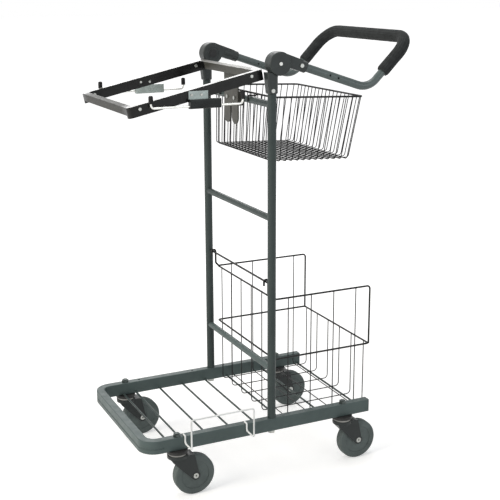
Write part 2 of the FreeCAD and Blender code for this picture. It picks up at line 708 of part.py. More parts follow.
def handle_tube():
    start = arm_point(HANDLE_START_X)
    right = [start, HANDLE_LOW, HANDLE_HIGH]
    points = right + [V(p.x, -p.y, p.z) for p in reversed(right)]
    route = bent_wire(points, [HANDLE_LOW_R, HANDLE_HIGH_R, HANDLE_HIGH_R, HANDLE_LOW_R])
    cuts = [swept(route, HANDLE_D / 2 - HANDLE_WALL)]
    along = (HANDLE_LOW - start).normalize()
    square = (V(0, 1, 0) - along * along.y).normalize()
    for x in HANDLE_HOLE_X:
        centre = arm_point(x)
        reach = square * HANDLE_D
        cuts += both_sides(lambda: rod(centre - reach, centre + reach, HANDLE_HOLE_D / 2))
    screw_z = arm_point(YOKE_SCREW_X).z
    cuts += both_sides(lambda: rod_y(YOKE_SCREW_X, screw_z, ARM_Y, 2 * ARM_Y, SCREW_D / 2 + WELD_FIT))
    return swept(route, HANDLE_D / 2).cut(cuts)


def handle_grip():
    share = (GRIP_FROM_X - HANDLE_LOW.x) / (HANDLE_HIGH.x - HANDLE_LOW.x)
    start = HANDLE_LOW + (HANDLE_HIGH - HANDLE_LOW) * share
    route = bent_wire(handle_side(start), [HANDLE_HIGH_R, HANDLE_HIGH_R])
    return swept(route, GRIP_D / 2).cut(swept(route, HANDLE_D / 2 + WELD_FIT))


def tilted_bag(shape):
    shape.rotate(V(0, 0, 0), V(0, 1, 0), -BAG_TILT)
    return moved(shape, BAG_REAR_X, 0, BAG_TOP_Z)


def bag_pivot():
    tilt = math.radians(BAG_TILT)
    x = BAG_PIVOT_BEHIND * math.cos(tilt) + BAG_PIVOT_DROP * math.sin(tilt)
    z = BAG_PIVOT_BEHIND * math.sin(tilt) - BAG_PIVOT_DROP * math.cos(tilt)
    return V(BAG_REAR_X + x, 0, BAG_TOP_Z + z)


def bag_rivet_x():
    return [-BAG_RIVET_IN, BAG_RIVET_IN - BAG_LENGTH]


def bag_side_bar():
    """Inverted channel with closed ends and a rounded front corner."""
    inner = BAG_HALF - BAG_BAR_W
    bar = box(-BAG_LENGTH, 0, inner, BAG_HALF, -BAG_SIDE_H, 0)
    corner = [e for e in edges_along(bar, V(0, 0, 1))
              if e.CenterOfMass.x < -BAG_WALL and e.CenterOfMass.y > inner + BAG_WALL]
    bar = bar.makeFillet(BAG_CORNER_R, corner)
    hollow = box(BAG_WALL - BAG_LENGTH + BAG_CORNER_R, -BAG_WALL, inner + BAG_WALL, BAG_HALF - BAG_WALL,
                 -BAG_SIDE_H - PAST, -BAG_WALL)
    holes = [rod_y(x, -BAG_END_H / 2, 0, BAG_HALF + PAST, RIVET_D / 2 + WELD_FIT) for x in bag_rivet_x()]
    clamp_holes = [rod_y(x, CLAMP_SCREW_Z, inner - PAST, BAG_HALF + PAST, RIVET_D / 2 + WELD_FIT)
                   for x in CLAMP_SCREW_X]
    return tilted_bag(bar.cut([hollow] + holes)).cut(clamp_holes)


def bag_end_bar(x0, ear_x0):
    """Closed tube between the side bars with an ear along each of them."""
    half = BAG_HALF - BAG_BAR_W
    tube = box(x0, x0 + BAG_BAR_W, -half, half, -BAG_END_H, 0)
    bore = box(x0 + BAG_WALL, x0 + BAG_BAR_W - BAG_WALL, BAG_EAR_T - half, half - BAG_EAR_T,
               BAG_WALL - BAG_END_H, -BAG_WALL)
    ears = []
    holes = []
    for side in (-1, 1):
        y0, y1 = sorted((side * (half - BAG_EAR_T), side * half))
        ears.append(box(ear_x0, ear_x0 + BAG_EAR_L, y0, y1, BAG_EAR_INSET - BAG_END_H, -BAG_EAR_INSET))
    for x in bag_rivet_x():
        holes.append(rod_y(x, -BAG_END_H / 2, -BAG_HALF, BAG_HALF, RIVET_D / 2 + WELD_FIT))
    return fused(tube, *ears).cut([bore] + holes)


def bag_front_bar():
    return tilted_bag(bag_end_bar(-BAG_LENGTH, BAG_BAR_W - BAG_LENGTH))


def bag_rear_bar():
    """Rear bar with the hinge tab welded under its rear edge and the knuckle on the tab."""
    bar = bag_end_bar(-BAG_BAR_W, -BAG_BAR_W - BAG_EAR_L)
    half = BAG_KNUCKLE_HALF
    pivot = V(BAG_PIVOT_BEHIND, 0, -BAG_PIVOT_DROP)
    root = V(-BAG_TAB_ROOT, 0, BAG_WALL / 2 - BAG_END_H)
    along = (pivot - root).normalize()
    side = V(-along.z, 0, along.x) * (BAG_TAB_T / 2)
    tab = prism_y([(p.x, p.z) for p in (root + side, pivot + side, pivot - side, root - side)], -half, half)
    knuckle = rod_y(pivot.x, pivot.z, -half, half, BAG_KNUCKLE_R)
    bore = rod_y(pivot.x, pivot.z, -half - PAST, half + PAST, BAG_PIN_D / 2 + RUN_FIT)
    return tilted_bag(fused(bar, tab, knuckle).cut(bore))


def rivet_y(x, z, face_y, back_y, head_d):
    """A flat rivet from the outer face of a bar through to its back."""
    shank = rod_y(x, z, back_y, face_y, RIVET_D / 2)
    head = rod_y(x, z, face_y, face_y + RIVET_HEAD_H, head_d / 2)
    tail = rod_y(x, z, back_y - RIVET_HEAD_H, back_y, head_d / 2)
    return fused(shank, head, tail)


def bag_rivets():
    back_y = BAG_HALF - BAG_BAR_W - BAG_EAR_T
    frame = [tilted_bag(rivet_y(x, -BAG_END_H / 2, BAG_HALF, back_y, RIVET_HEAD_D)) for x in bag_rivet_x()]
    inner = BAG_HALF - BAG_BAR_W
    clamp_y = BAG_HALF + CLAMP_PLATE_T
    clamp = [rivet_y(x, CLAMP_SCREW_Z, clamp_y, inner, CLAMP_RIVET_HEAD_D) for x in CLAMP_SCREW_X]
    return frame + clamp


def bag_bracket():
    """Plate in front of the top cross-bar: flanges and hinge ears behind it, two fingers below."""
    back = BRACKET_BACK
    front = back - BRACKET_T
    half = BRACKET_HALF
    bar_z = CROSS_BAR_Z["top"]
    pieces = [box(front, back, -half, half, BRACKET_FOOT, BRACKET_TOP)]
    pivot = bag_pivot()
    ear_y = BAG_KNUCKLE_HALF + MOVE_GAP
    finger_r = (2 * half - FINGER_GAP) / 4
    finger_z = BRACKET_FOOT - FINGER_L + finger_r
    for side in (-1, 1):
        y0, y1 = sorted((side * (half - BRACKET_T), side * half))
        pieces.append(box(front, back + BRACKET_FLANGE, y0, y1,
                          BRACKET_FOOT + BRACKET_FLANGE_INSET, bar_z + BRACKET_FALL - BRACKET_FLANGE_INSET))
        y0, y1 = sorted((side * ear_y, side * (ear_y + BRACKET_EAR_T)))
        ear = [(front, BRACKET_TOP), (front, BRACKET_TOP - BRACKET_EAR_ROOT),
               (pivot.x, pivot.z - BRACKET_EAR_R), (pivot.x, pivot.z + BRACKET_EAR_R)]
        pieces.append(prism_y(ear, y0, y1))
        pieces.append(rod_y(pivot.x, pivot.z, y0, y1, BRACKET_EAR_R))
        finger_y = side * (half - finger_r)
        pieces.append(box(front, back, finger_y - finger_r, finger_y + finger_r, finger_z, BRACKET_FOOT))
        tip = V(front, finger_y, finger_z)
        pieces.append(rod(tip, tip + V(BRACKET_T, 0, 0), finger_r))
    cuts = [rod(V(front - PAST, y, bar_z), V(back + PAST, y, bar_z), SCREW_D / 2 + WELD_FIT)
            for y in (-BRACKET_BOLT_Y, BRACKET_BOLT_Y)]
    cuts.append(rod_y(pivot.x, pivot.z, -half, half, BAG_PIN_D / 2 + WELD_FIT))
    cuts.append(rod_y(0, bar_z, -2 * half, 2 * half, CROSS_BAR_D / 2 + WELD_FIT))
    return fused(*pieces).cut(cuts)


def bracket_bolt():
    z = CROSS_BAR_Z["top"]
    face = BRACKET_BACK - BRACKET_T
    shank = rod(V(face - PAST, BRACKET_BOLT_Y, z), V(CROSS_BAR_D / 2, BRACKET_BOLT_Y, z), SCREW_D / 2)
    head = rod(V(face - SCREW_HEAD_H, BRACKET_BOLT_Y, z), V(face, BRACKET_BOLT_Y, z), SCREW_HEAD_D / 2)
    return fused(shank, head)


def bag_pivot_pin():
    pivot = bag_pivot()
    half = BAG_KNUCKLE_HALF + MOVE_GAP + BRACKET_EAR_T
    end = half + SCREW_HEAD_H
    pin = rod_y(pivot.x, pivot.z, -half, half, BAG_PIN_D / 2)
    heads = [rod_y(pivot.x, pivot.z, half, end, SCREW_HEAD_D / 2),
             rod_y(pivot.x, pivot.z, -end, -half, SCREW_HEAD_D / 2)]
    return fused(pin, *heads)


def clamp_axis_y():
    return BAG_HALF + CLAMP_PLATE_T + CLAMP_BARREL_T / 2


def clamp_body():
    """Plate on the side bar's outer face and the barrel below it that holds the wire."""
    x0, x1 = CLAMP_X
    barrel_z = CLAMP_WIRE_Z - CLAMP_BARREL_BELOW
    plate = box(x0, x1, BAG_HALF, BAG_HALF + CLAMP_PLATE_T, barrel_z, CLAMP_TOP)
    barrel = box(x0, CLAMP_BARREL_END, BAG_HALF + CLAMP_PLATE_T, BAG_HALF + CLAMP_PLATE_T + CLAMP_BARREL_T,
                 barrel_z, barrel_z + CLAMP_BARREL_H)
    long_edges = [e for e in edges_along(barrel, V(1, 0, 0)) if e.CenterOfMass.y > clamp_axis_y()]
    barrel = barrel.makeFillet(CLAMP_BARREL_ROUND, long_edges)
    bore = rod(V(x0 - PAST, clamp_axis_y(), CLAMP_WIRE_Z),
               V(CLAMP_BARREL_END + PAST, clamp_axis_y(), CLAMP_WIRE_Z), CLAMP_WIRE_D / 2 + RUN_FIT)
    holes = [rod_y(x, CLAMP_SCREW_Z, BAG_HALF - PAST, 2 * BAG_HALF, RIVET_D / 2 + WELD_FIT)
             for x in CLAMP_SCREW_X]
    return fused(plate, barrel).cut([bore] + holes)


def clamp_wire():
    """Straight wire that turns in the barrel, both ends turned up against the side bar."""
    x0, x1 = CLAMP_WIRE_X
    y = clamp_axis_y()
    high = CLAMP_WIRE_Z + CLAMP_WIRE_RISE
    points = [V(x0, y, high), V(x0, y, CLAMP_WIRE_Z), V(x1, y, CLAMP_WIRE_Z), V(x1, y, high)]
    return swept(bent_wire(points, [CLAMP_BEND_R, CLAMP_BEND_R]), CLAMP_WIRE_D / 2)


def clamp_tip(x):
    y = clamp_axis_y()
    high = CLAMP_WIRE_Z + CLAMP_WIRE_RISE
    body = rod_z(x, y, high + CLAMP_TIP_CAP - CLAMP_TIP_L, high + CLAMP_TIP_CAP, CLAMP_TIP_D / 2)
    rim = [e for e in body.Edges if e.CenterOfMass.z > high and len(e.Vertexes) == 1]
    body = body.makeChamfer(CLAMP_TIP_CHAMFER, rim)
    return body.cut(rod_z(x, y, 0, high, CLAMP_WIRE_D / 2 + WELD_FIT))


def tilted_upper(shape):
    shape.rotate(V(0, 0, 0), V(0, 1, 0), UPPER_TILT)
    return moved(shape, UPPER_X, 0, UPPER_Z)


def wires_between(low, high):
    """Places of the evenly spaced inner wires between the two edge wires."""
    gaps = round((high - low) / UPPER_PITCH)
    return evenly(low, high, gaps + 1)[1:-1]


def upper_rim():
    """Rim wire and the two hooks that hang the basket on the top cross-bar."""
    rim = swept(ring_wire(0, UPPER_RIM_DEPTH, UPPER_RIM_HALF, 0, UPPER_RIM_R), UPPER_RIM_D / 2)
    tilt = math.radians(UPPER_TILT)
    dx = -UPPER_X
    dz = CROSS_BAR_Z["top"] - UPPER_Z
    bar_x = dx * math.cos(tilt) - dz * math.sin(tilt)
    bar_z = dx * math.sin(tilt) + dz * math.cos(tilt)
    reach = CROSS_BAR_D / 2 + MOVE_GAP + UPPER_HOOK_D / 2
    over = bar_z + reach
    hooks = []
    for y in (-UPPER_HOOK_Y, UPPER_HOOK_Y):
        points = [V(0, y, 0), V(-UPPER_RIM_D, y, over), V(bar_x - reach, y, over),
                  V(bar_x - reach, y, over - UPPER_HOOK_LIP)]
        hooks.append(swept(bent_wire(points, [UPPER_HOOK_R] * 2), UPPER_HOOK_D / 2))
    return tilted_upper(fused(rim, *hooks))


def upper_front():
    half = UPPER_RIM_HALF - UPPER_RIM_R / 2
    foot = UPPER_FLOOR_HALF - UPPER_RIM_R / 2
    bars = wires_between(-half, half)
    panel = across(grille((-half, half), (-foot, foot), UPPER_WALL_H, bars, [], UPPER_WIRE))
    return tilted_upper(moved(panel, UPPER_WIRE / 2, 0, -UPPER_RIM_D / 2))


def upper_rear():
    """Rear wall, which leans in towards the floor."""
    half = UPPER_RIM_HALF - UPPER_RIM_R / 2
    foot = UPPER_FLOOR_HALF - UPPER_RIM_R / 2
    lean = math.atan2(UPPER_RIM_DEPTH - UPPER_FLOOR_DEPTH, UPPER_WALL_H)
    raised = UPPER_WIRE * math.sin(lean)
    height = (UPPER_WALL_H - raised - WELD_FIT) / math.cos(lean)
    bars = wires_between(-half, half)
    panel = across(grille((-half, half), (-foot, foot), height, bars, [], UPPER_WIRE))
    panel.rotate(V(0, 0, 0), V(0, 1, 0), math.degrees(lean))
    return tilted_upper(moved(panel, UPPER_RIM_DEPTH + UPPER_WIRE / 2, 0, -UPPER_RIM_D / 2 - raised))


def upper_side():
    corner = UPPER_RIM_R / 2
    lean = math.degrees(math.atan2(UPPER_RIM_HALF - UPPER_FLOOR_HALF, UPPER_WALL_H))
    bars = wires_between(corner, UPPER_RIM_DEPTH - corner)
    panel = grille((corner, UPPER_RIM_DEPTH - corner), (corner, UPPER_FLOOR_DEPTH - corner),
                   UPPER_WALL_H - PANEL_GAP, bars, [], UPPER_WIRE)
    panel.rotate(V(0, 0, 0), V(1, 0, 0), -lean)
    return tilted_upper(moved(panel, 0, UPPER_RIM_HALF - UPPER_WIRE / 2, -UPPER_RIM_D / 2))


def upper_floor():
    half = UPPER_FLOOR_HALF + UPPER_WIRE / 2
    front = -UPPER_WIRE / 2
    depth = UPPER_FLOOR_DEPTH + UPPER_WIRE
    bars = wires_between(-half, half)
    rails = [-x for x in wires_between(0, depth)]
    panel = grille((-half, half), (-half, half), depth, bars, rails, UPPER_WIRE)
    laid_flat(panel)
    top = -UPPER_RIM_D / 2 - UPPER_WALL_H
    return tilted_upper(moved(panel, front, 0, top - UPPER_WIRE))


def lower_floor_z():
    return DECK_Z + DECK_WIRE_D / 2 + MOVE_GAP


def lower_frame():
    """Heavy wires of the lower basket: top wire, middle rim and the two hooks on the hanger rod."""
    x0, x1 = LOWER_X
    half = LOWER_HALF
    right = [V(x1, half, LOWER_MID_Z), V(x1, half, LOWER_TOP_Z), V(x0, half, LOWER_TOP_Z)]
    points = right + [V(p.x, -p.y, p.z) for p in reversed(right)]
    top = swept(bent_wire(points, [LOWER_RIM_R] * 4), LOWER_RIM_D / 2)
    middle = swept(ring_wire(x0, x1, half, LOWER_MID_Z, LOWER_MID_R), LOWER_RIM_D / 2)
    reach = HANGER_ROD_D / 2 + MOVE_GAP + LOWER_HOOK_D / 2
    over = HANGER_ROD_Z + reach
    hooks = []
    for y in (-LOWER_HOOK_Y, LOWER_HOOK_Y):
        points = [V(x0, y, LOWER_TOP_Z), V(reach, y, HANGER_ROD_Z - LOWER_HOOK_NECK), V(reach, y, over),
                  V(-reach, y, over), V(-reach, y, over - LOWER_HOOK_LIP)]
        radii = [LOWER_HOOK_R, reach - WELD_FIT, reach - WELD_FIT]
        hooks.append(swept(bent_wire(points, radii), LOWER_HOOK_D / 2))
    return fused(top, middle, *hooks)


def lower_long_y():
    outer = LOWER_HALF - LOWER_LONG_IN
    return evenly(-outer, outer, LOWER_LONG_COUNT)


def lower_cross_x():
    return evenly(LOWER_X[0] + LOWER_CROSS_IN, LOWER_X[1] - LOWER_CROSS_IN, LOWER_CROSS_COUNT)


def lower_panel(low, high, top_z, bars, rails):
    """A wall of the lower basket that stands on its floor wires."""
    foot = lower_floor_z() + LOWER_WIRE
    panel = grille((low, high), (low, high), top_z - foot, bars, [z - top_z for z in rails], LOWER_WIRE)
    return panel, top_z


def lower_front():
    half = LOWER_HALF - LOWER_RIM_D / 2 - LOWER_WIRE - CORNER_GAP
    panel, top_z = lower_panel(-half, half, LOWER_TOP_Z, lower_long_y(), [LOWER_MID_Z])
    return moved(across(panel), LOWER_X[0] + LOWER_RIM_D / 2 + LOWER_WIRE, 0, top_z)


def lower_rear():
    half = LOWER_HALF - LOWER_RIM_D / 2 - LOWER_WIRE - CORNER_GAP
    panel, top_z = lower_panel(-half, half, LOWER_MID_Z, lower_long_y(), [])
    return moved(across(panel), LOWER_X[1] - LOWER_RIM_D / 2, 0, top_z)


def lower_side():
    skin = LOWER_RIM_D / 2 + LOWER_WIRE + CORNER_GAP
    panel, top_z = lower_panel(LOWER_X[0] + skin, LOWER_X[1] - skin, LOWER_TOP_Z, lower_cross_x(),
                               [LOWER_MID_Z])
    return moved(panel, 0, LOWER_HALF - LOWER_RIM_D / 2 - LOWER_WIRE, top_z)


def lower_floor():
    half = LOWER_HALF - LOWER_RIM_D / 2
    front = LOWER_X[0] + LOWER_RIM_D / 2
    depth = LOWER_X[1] - LOWER_RIM_D / 2 - front
    panel = grille((-half, half), (-half, half), depth, lower_long_y(), [front - x for x in lower_cross_x()],
                   LOWER_WIRE)
    laid_flat(panel)
    return moved(panel, front, 0, lower_floor_z())


def wire_holder():
    """One bent wire: pins in the rail's top holes, down its outer face, out and up to a bar."""
    x0, x1 = HOLDER_X
    over = RAIL_TOP + MOVE_GAP + HOLDER_D / 2
    face = -BASE_HALF - MOVE_GAP - HOLDER_D / 2
    out = face - HOLDER_OUT
    half = [(-RAIL_Y, RAIL_TOP - HOLDER_PIN_DEPTH), (-RAIL_Y, over), (face, over), (face, HOLDER_LOW_Z),
            (out, HOLDER_LOW_Z), (out, HOLDER_TOP_Z)]
    points = [V(x0, y, z) for y, z in half] + [V(x1, y, z) for y, z in reversed(half)]
    bends = [HOLDER_TIGHT_R] * 2 + [HOLDER_BEND_R] * 3
    radii = bends + bends[::-1]
    return swept(bent_wire(points, radii), HOLDER_D / 2)


def frame_pieces():
    left_upright, right_upright = both_sides(upright)
    return {
        "base_frame": [base_frame()],
        "deck_wires": deck_wires(),
        "rail_end_caps": list(both_sides(rail_end_cap)),
        "upright_left": [left_upright],
        "upright_right": [right_upright],
        "upright_bolts": list(both_sides(upright_bolt)),
        "cross_bar_top": [top_cross_bar()],
        "cross_bar_middle": [cross_tube(CROSS_BAR_Z["middle"], CROSS_BAR_D, CROSS_BAR_WALL)],
        "cross_bar_lower": [cross_tube(CROSS_BAR_Z["lower"], CROSS_BAR_D, CROSS_BAR_WALL)],
        "hanger_rod": [cross_tube(HANGER_ROD_Z, HANGER_ROD_D, 0)],
    }


def caster_pieces():
    pieces = {"caster_tops": [], "caster_nuts": []}
    for end, x in CASTER_X.items():
        pieces["caster_tops"] += both_sides(lambda: caster_top(x))
        pieces["caster_nuts"] += both_sides(lambda: caster_nut(x))
        for name, make in (("fork", caster_fork), ("wheel", wheel), ("axle", axle)):
            left, right = both_sides(lambda: make(x))
            pieces["%s_%s_left" % (name, end)] = [left]
            pieces["%s_%s_right" % (name, end)] = [right]
    return pieces


def handle_pieces():
    left_sleeve, right_sleeve = both_sides(hinge_sleeve)
    left_yoke, right_yoke = both_sides(handle_yoke)
    return {
        "hinge_sleeve_left": [left_sleeve],
        "hinge_sleeve_right": [right_sleeve],
        "sleeve_screws": list(both_sides(sleeve_screw)),
        "pivot_pins": list(both_sides(pivot_pin)),
        "handle_yoke_left": [left_yoke],
        "handle_yoke_right": [right_yoke],
        "yoke_screws": list(both_sides(yoke_screw)),
        "handle_tube": [handle_tube()],
        "handle_grip": [handle_grip()],
    }


def bag_pieces():
    left_bar, right_bar = both_sides(bag_side_bar)
    left_clamp, right_clamp = both_sides(clamp_body)
    left_wire, right_wire = both_sides(clamp_wire)
    right_tips = [clamp_tip(x) for x in CLAMP_WIRE_X]
    right_rivets = bag_rivets()
    return {
        "bag_side_left": [left_bar],
        "bag_side_right": [right_bar],
        "bag_front_bar": [bag_front_bar()],
        "bag_rear_bar": [bag_rear_bar()],
        "bag_rivets": right_rivets + [mirrored(rivet) for rivet in right_rivets],
        "bag_bracket": [bag_bracket()],
        "bracket_bolts": list(both_sides(bracket_bolt)),
        "bag_pivot_pin": [bag_pivot_pin()],
        "clamp_body_left": [left_clamp],
        "clamp_body_right": [right_clamp],
        "clamp_wire_left": [left_wire],
        "clamp_wire_right": [right_wire],
        "clamp_tips_left": [mirrored(tip) for tip in right_tips],
        "clamp_tips_right": right_tips,
    }


def basket_pieces():
    upper_left, upper_right = both_sides(upper_side)
    lower_left, lower_right = both_sides(lower_side)
    return {
        "upper_basket_rim": [upper_rim()],
        "upper_basket_front": [upper_front()],
        "upper_basket_rear": [upper_rear()],
        "upper_basket_left": [upper_left],
        "upper_basket_right": [upper_right],
        "upper_basket_floor": [upper_floor()],
        "lower_basket_frame": [lower_frame()],
        "lower_basket_front": [lower_front()],
        "lower_basket_rear": [lower_rear()],
        "lower_basket_left": [lower_left],
        "lower_basket_right": [lower_right],
        "lower_basket_floor": [lower_floor()],
        "wire_holder": [wire_holder()],
    }


def main():
    pieces = {}
    for group in (frame_pieces, caster_pieces, handle_pieces, bag_pieces, basket_pieces):
        pieces.update(group())
    os.makedirs("parts", exist_ok=True)
    for name, solids in pieces.items():
        shape = solids[0] if len(solids) == 1 else Part.makeCompound(solids)
        shape.exportStep("parts/%s.step" % name)
        size = shape.BoundBox
        print("%-20s solids %d valid %s  x %.1f..%.1f y %.1f..%.1f z %.1f..%.1f" % (
            name, len(shape.Solids), shape.isValid(), size.XMin, size.XMax, size.YMin, size.YMax,
            size.ZMin, size.ZMax))


main()
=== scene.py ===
import json
import math

import bpy
from mathutils import Matrix, Vector


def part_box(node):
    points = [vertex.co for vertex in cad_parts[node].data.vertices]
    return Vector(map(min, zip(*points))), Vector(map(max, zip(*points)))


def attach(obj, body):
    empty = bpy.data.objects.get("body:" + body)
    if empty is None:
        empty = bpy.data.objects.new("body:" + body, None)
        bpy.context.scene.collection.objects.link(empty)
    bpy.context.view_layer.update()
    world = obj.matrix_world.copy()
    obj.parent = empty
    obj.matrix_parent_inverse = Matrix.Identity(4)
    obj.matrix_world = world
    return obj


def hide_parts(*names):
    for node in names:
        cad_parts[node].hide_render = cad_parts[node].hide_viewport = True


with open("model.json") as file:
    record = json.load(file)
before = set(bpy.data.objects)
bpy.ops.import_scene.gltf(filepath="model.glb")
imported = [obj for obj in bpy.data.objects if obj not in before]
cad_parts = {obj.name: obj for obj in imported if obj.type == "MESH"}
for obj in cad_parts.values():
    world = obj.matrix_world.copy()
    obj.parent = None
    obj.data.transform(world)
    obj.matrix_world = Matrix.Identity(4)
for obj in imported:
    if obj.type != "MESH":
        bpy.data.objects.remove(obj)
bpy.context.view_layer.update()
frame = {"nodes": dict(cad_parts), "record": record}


# Measures taken from the frame

def tenths(metres):
    """A length to a tenth of a millimetre, which leaves out the facets of a mesh."""
    return round(metres, 4)


def bar_section(node):
    """The height of a level bar's centre line, and its radius."""
    low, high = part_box(node)
    return tenths((low[2] + high[2]) / 2), tenths((high[2] - low[2]) / 2)


CROSS_BAR_Z, CROSS_BAR_R = bar_section("cross_bar_top")
HANGER_Z, HANGER_R = bar_section("hanger_rod")
UPPER_RIM_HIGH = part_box("upper_basket_rim")[1]
UPPER_FLOOR_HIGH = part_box("upper_basket_floor")[1]
LOWER_FRAME_LOW, LOWER_FRAME_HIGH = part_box("lower_basket_frame")
LOWER_FLOOR_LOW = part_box("lower_basket_floor")[0]
HANDLE_TUBE_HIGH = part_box("handle_tube")[1]

# Camera, as the photograph was taken
CAMERA_PLACE = Vector((-1.0368, -2.2503, 1.1813))
CAMERA_AZIMUTH = math.radians(-25.406)
CAMERA_ELEVATION = math.radians(14.794)
CAMERA_ROLL = math.radians(-0.215)
CAMERA_LENS = 74.16
CAMERA_SENSOR = 36.0
CAMERA_REACH = 100.0

# Upper basket, level in its own frame and then tilted; solid radii are those of the construction model
UPPER_X = 0.0146
UPPER_RISE = 0.0135
UPPER_PLACE = Vector((UPPER_X, 0.0, CROSS_BAR_Z + UPPER_RISE))
UPPER_TILT = math.radians(2.3)
UPPER_RIM_SOLID_R = 0.0025
UPPER_WIRE_SOLID_R = 0.0012
UPPER_RIM_DEPTH = 0.235
UPPER_RIM_HALF = tenths(UPPER_RIM_HIGH[1] - UPPER_RIM_SOLID_R)
UPPER_REAR_LEAN = 0.022
UPPER_FLOOR_DEPTH = UPPER_RIM_DEPTH - UPPER_REAR_LEAN
UPPER_FLOOR_HALF = tenths(UPPER_FLOOR_HIGH[1] - UPPER_WIRE_SOLID_R)
UPPER_HEIGHT = 0.1455
UPPER_RIM_R = 0.0023
UPPER_WIRE_R = 0.0011
UPPER_ACROSS = 17
UPPER_ALONG = 12
UPPER_EDGE = 0.009
UPPER_BEND = 0.007
UPPER_CORNER = 0.010
UPPER_HOOK_IN = 0.085
UPPER_HOOK_Y = UPPER_RIM_HALF - UPPER_HOOK_IN
UPPER_HOOK_R = 0.002
UPPER_HOOK_BEND = 0.004
UPPER_HOOK_LIP = 0.013

# Lower basket
LOWER_RIM_SOLID_R = 0.0027
LOWER_FRONT = tenths(LOWER_FLOOR_LOW[0] - LOWER_RIM_SOLID_R)
LOWER_REAR = tenths(LOWER_FRAME_HIGH[0] - LOWER_RIM_SOLID_R)
LOWER_HALF = tenths(LOWER_FRAME_HIGH[1] - LOWER_RIM_SOLID_R)
LOWER_DROP = 0.043
LOWER_TOP = HANGER_Z - LOWER_DROP
LOWER_MIDDLE = tenths(LOWER_FRAME_LOW[2] + LOWER_RIM_SOLID_R)
LOWER_FLOOR = 0.1285
LOWER_RIM_R = 0.0023
LOWER_WIRE_R = 0.0013
LOWER_BEND = 0.010
LOWER_TOP_BEND = 0.008
LOWER_MIDDLE_BEND = 0.006
LOWER_LONG_IN = 0.018
LOWER_LONG_COUNT = 6
LOWER_CROSS_IN = 0.038
LOWER_CROSS_COUNT = 4
LOWER_HOOK_IN = 0.013
LOWER_HOOK_Y = LOWER_HALF - LOWER_HOOK_IN
LOWER_HOOK_R = 0.0025
LOWER_HOOK_NECK = 0.030
LOWER_HOOK_LIP = 0.015

# Wires: sides of each kind, steps in a bend, the least turn that is bent, and a bend's share of a leg
RIM_SIDES = 14
HOOK_SIDES = 12
WIRE_SIDES = 10
BEND_STEPS = 6
LEAST_TURN = 0.02
BEND_SHARE = 0.49
HOOK_GAP = 0.0004
BASKET_PANELS = ("front", "rear", "left", "right", "floor")

# Handle's centre line on the right
HANDLE_TUBE_R = 0.0095
HANDLE_HALF = 0.194
HANDLE_LOW = Vector((0.247, 0.190, 0.932))
HANDLE_HIGH = Vector((tenths(HANDLE_TUBE_HIGH[0] - HANDLE_TUBE_R), HANDLE_HALF,
                      tenths(HANDLE_TUBE_HIGH[2] - HANDLE_TUBE_R)))
HANDLE_BEND = 0.050

# Foam grip: each wave of its skin is a share of the radius, a pace along the grip and a shift
GRIP_R = 0.0148
GRIP_START = 0.283
GRIP_STEP = 0.004
GRIP_BEND_STEPS = 16
GRIP_ROLL = 0.002
GRIP_ROLL_DEPTH = 0.12
GRIP_WAVES = ((0.006, 130.0, 0.0), (0.004, 310.0, 1.0))
GRIP_RIBS = 16
RIB_SIDES = 8
RIB_DEPTH = 0.045

# Places where the finish, or the painted light and shade, changes on one node
CASTER_RACE_TOP = 0.1135
CLAMP_BARREL_TOP = 0.928
REAR_BAR_DARK_Y = 0.128
FRONT_BAR_SHADE_Y = 0.137
FRONT_BAR_FADE = 0.015
SHARP_CHANGE = 0.0001
PIN_MIDDLE_Y = 0.185

# Studio: each lamp's place, what it looks at, its width, its power and its tint
WHITE = (1.0, 1.0, 1.0)
LAMPS = {
    "key": ((-3.6, -0.5, 2.3), (0.0, 0.0, 0.5), 2.2, 105.0, (1.0, 0.95, 0.86)),
    "fill": ((1.6, -3.6, 2.0), (0.0, 0.0, 0.5), 2.6, 26.0, (0.92, 0.97, 1.0)),
    "top": ((0.2, 0.4, 3.6), (0.0, 0.0, 0.5), 2.4, 40.0, WHITE),
    "back": ((0.75, 2.8, 1.7), (-0.15, 0.0, 0.95), 1.4, 12.0, WHITE),
}
FLOOR_WHITE = (0.86, 0.86, 0.86)
FLOOR_ROUGHNESS = 0.9
FLOOR_HALF = 30.0
FLOOR_GLOW = (0.42, 0.78)
FLOOR_GLOW_REACH = (0.8, 2.6)
WORLD_LEVEL = 0.30


# Node helpers for materials

def new_material(name, colour, roughness, metallic=0.0, gloss=0.5):
    made = bpy.data.materials.new(name)
    made.use_nodes = True
    shader = made.node_tree.nodes["Principled BSDF"]
    shader.inputs["Base Color"].default_value = (*colour, 1.0)
    shader.inputs["Roughness"].default_value = roughness
    shader.inputs["Metallic"].default_value = metallic
    shader.inputs["Specular IOR Level"].default_value = gloss
    return made, shader


def add_node(made, kind, **values):
    node = made.node_tree.nodes.new(kind)
    for name, value in values.items():
        node.inputs[name.replace("_", " ")].default_value = value
    return node


def join(made, source, target):
    made.node_tree.links.new(source, target)


def combined(made, operation, first, second):
    """Two outputs put together by a math node."""
    node = made.node_tree.nodes.new("ShaderNodeMath")
    node.operation = operation
    join(made, first, node.inputs[0])
    join(made, second, node.inputs[1])
    return node.outputs["Value"]


def parted(made, output):
    """The three parts of one of the object's own coordinates, Object or Normal."""
    place = made.node_tree.nodes.new("ShaderNodeTexCoord")
    split = made.node_tree.nodes.new("ShaderNodeSeparateXYZ")
    join(made, place.outputs[output], split.inputs["Vector"])
    return split.outputs


def noise(made, scale, detail=4.0, rough=0.55):
    place = made.node_tree.nodes.new("ShaderNodeTexCoord")
    cloud = add_node(made, "ShaderNodeTexNoise", Scale=scale, Detail=detail, Roughness=rough)
    join(made, place.outputs["Object"], cloud.inputs["Vector"])
    return cloud.outputs["Fac"]


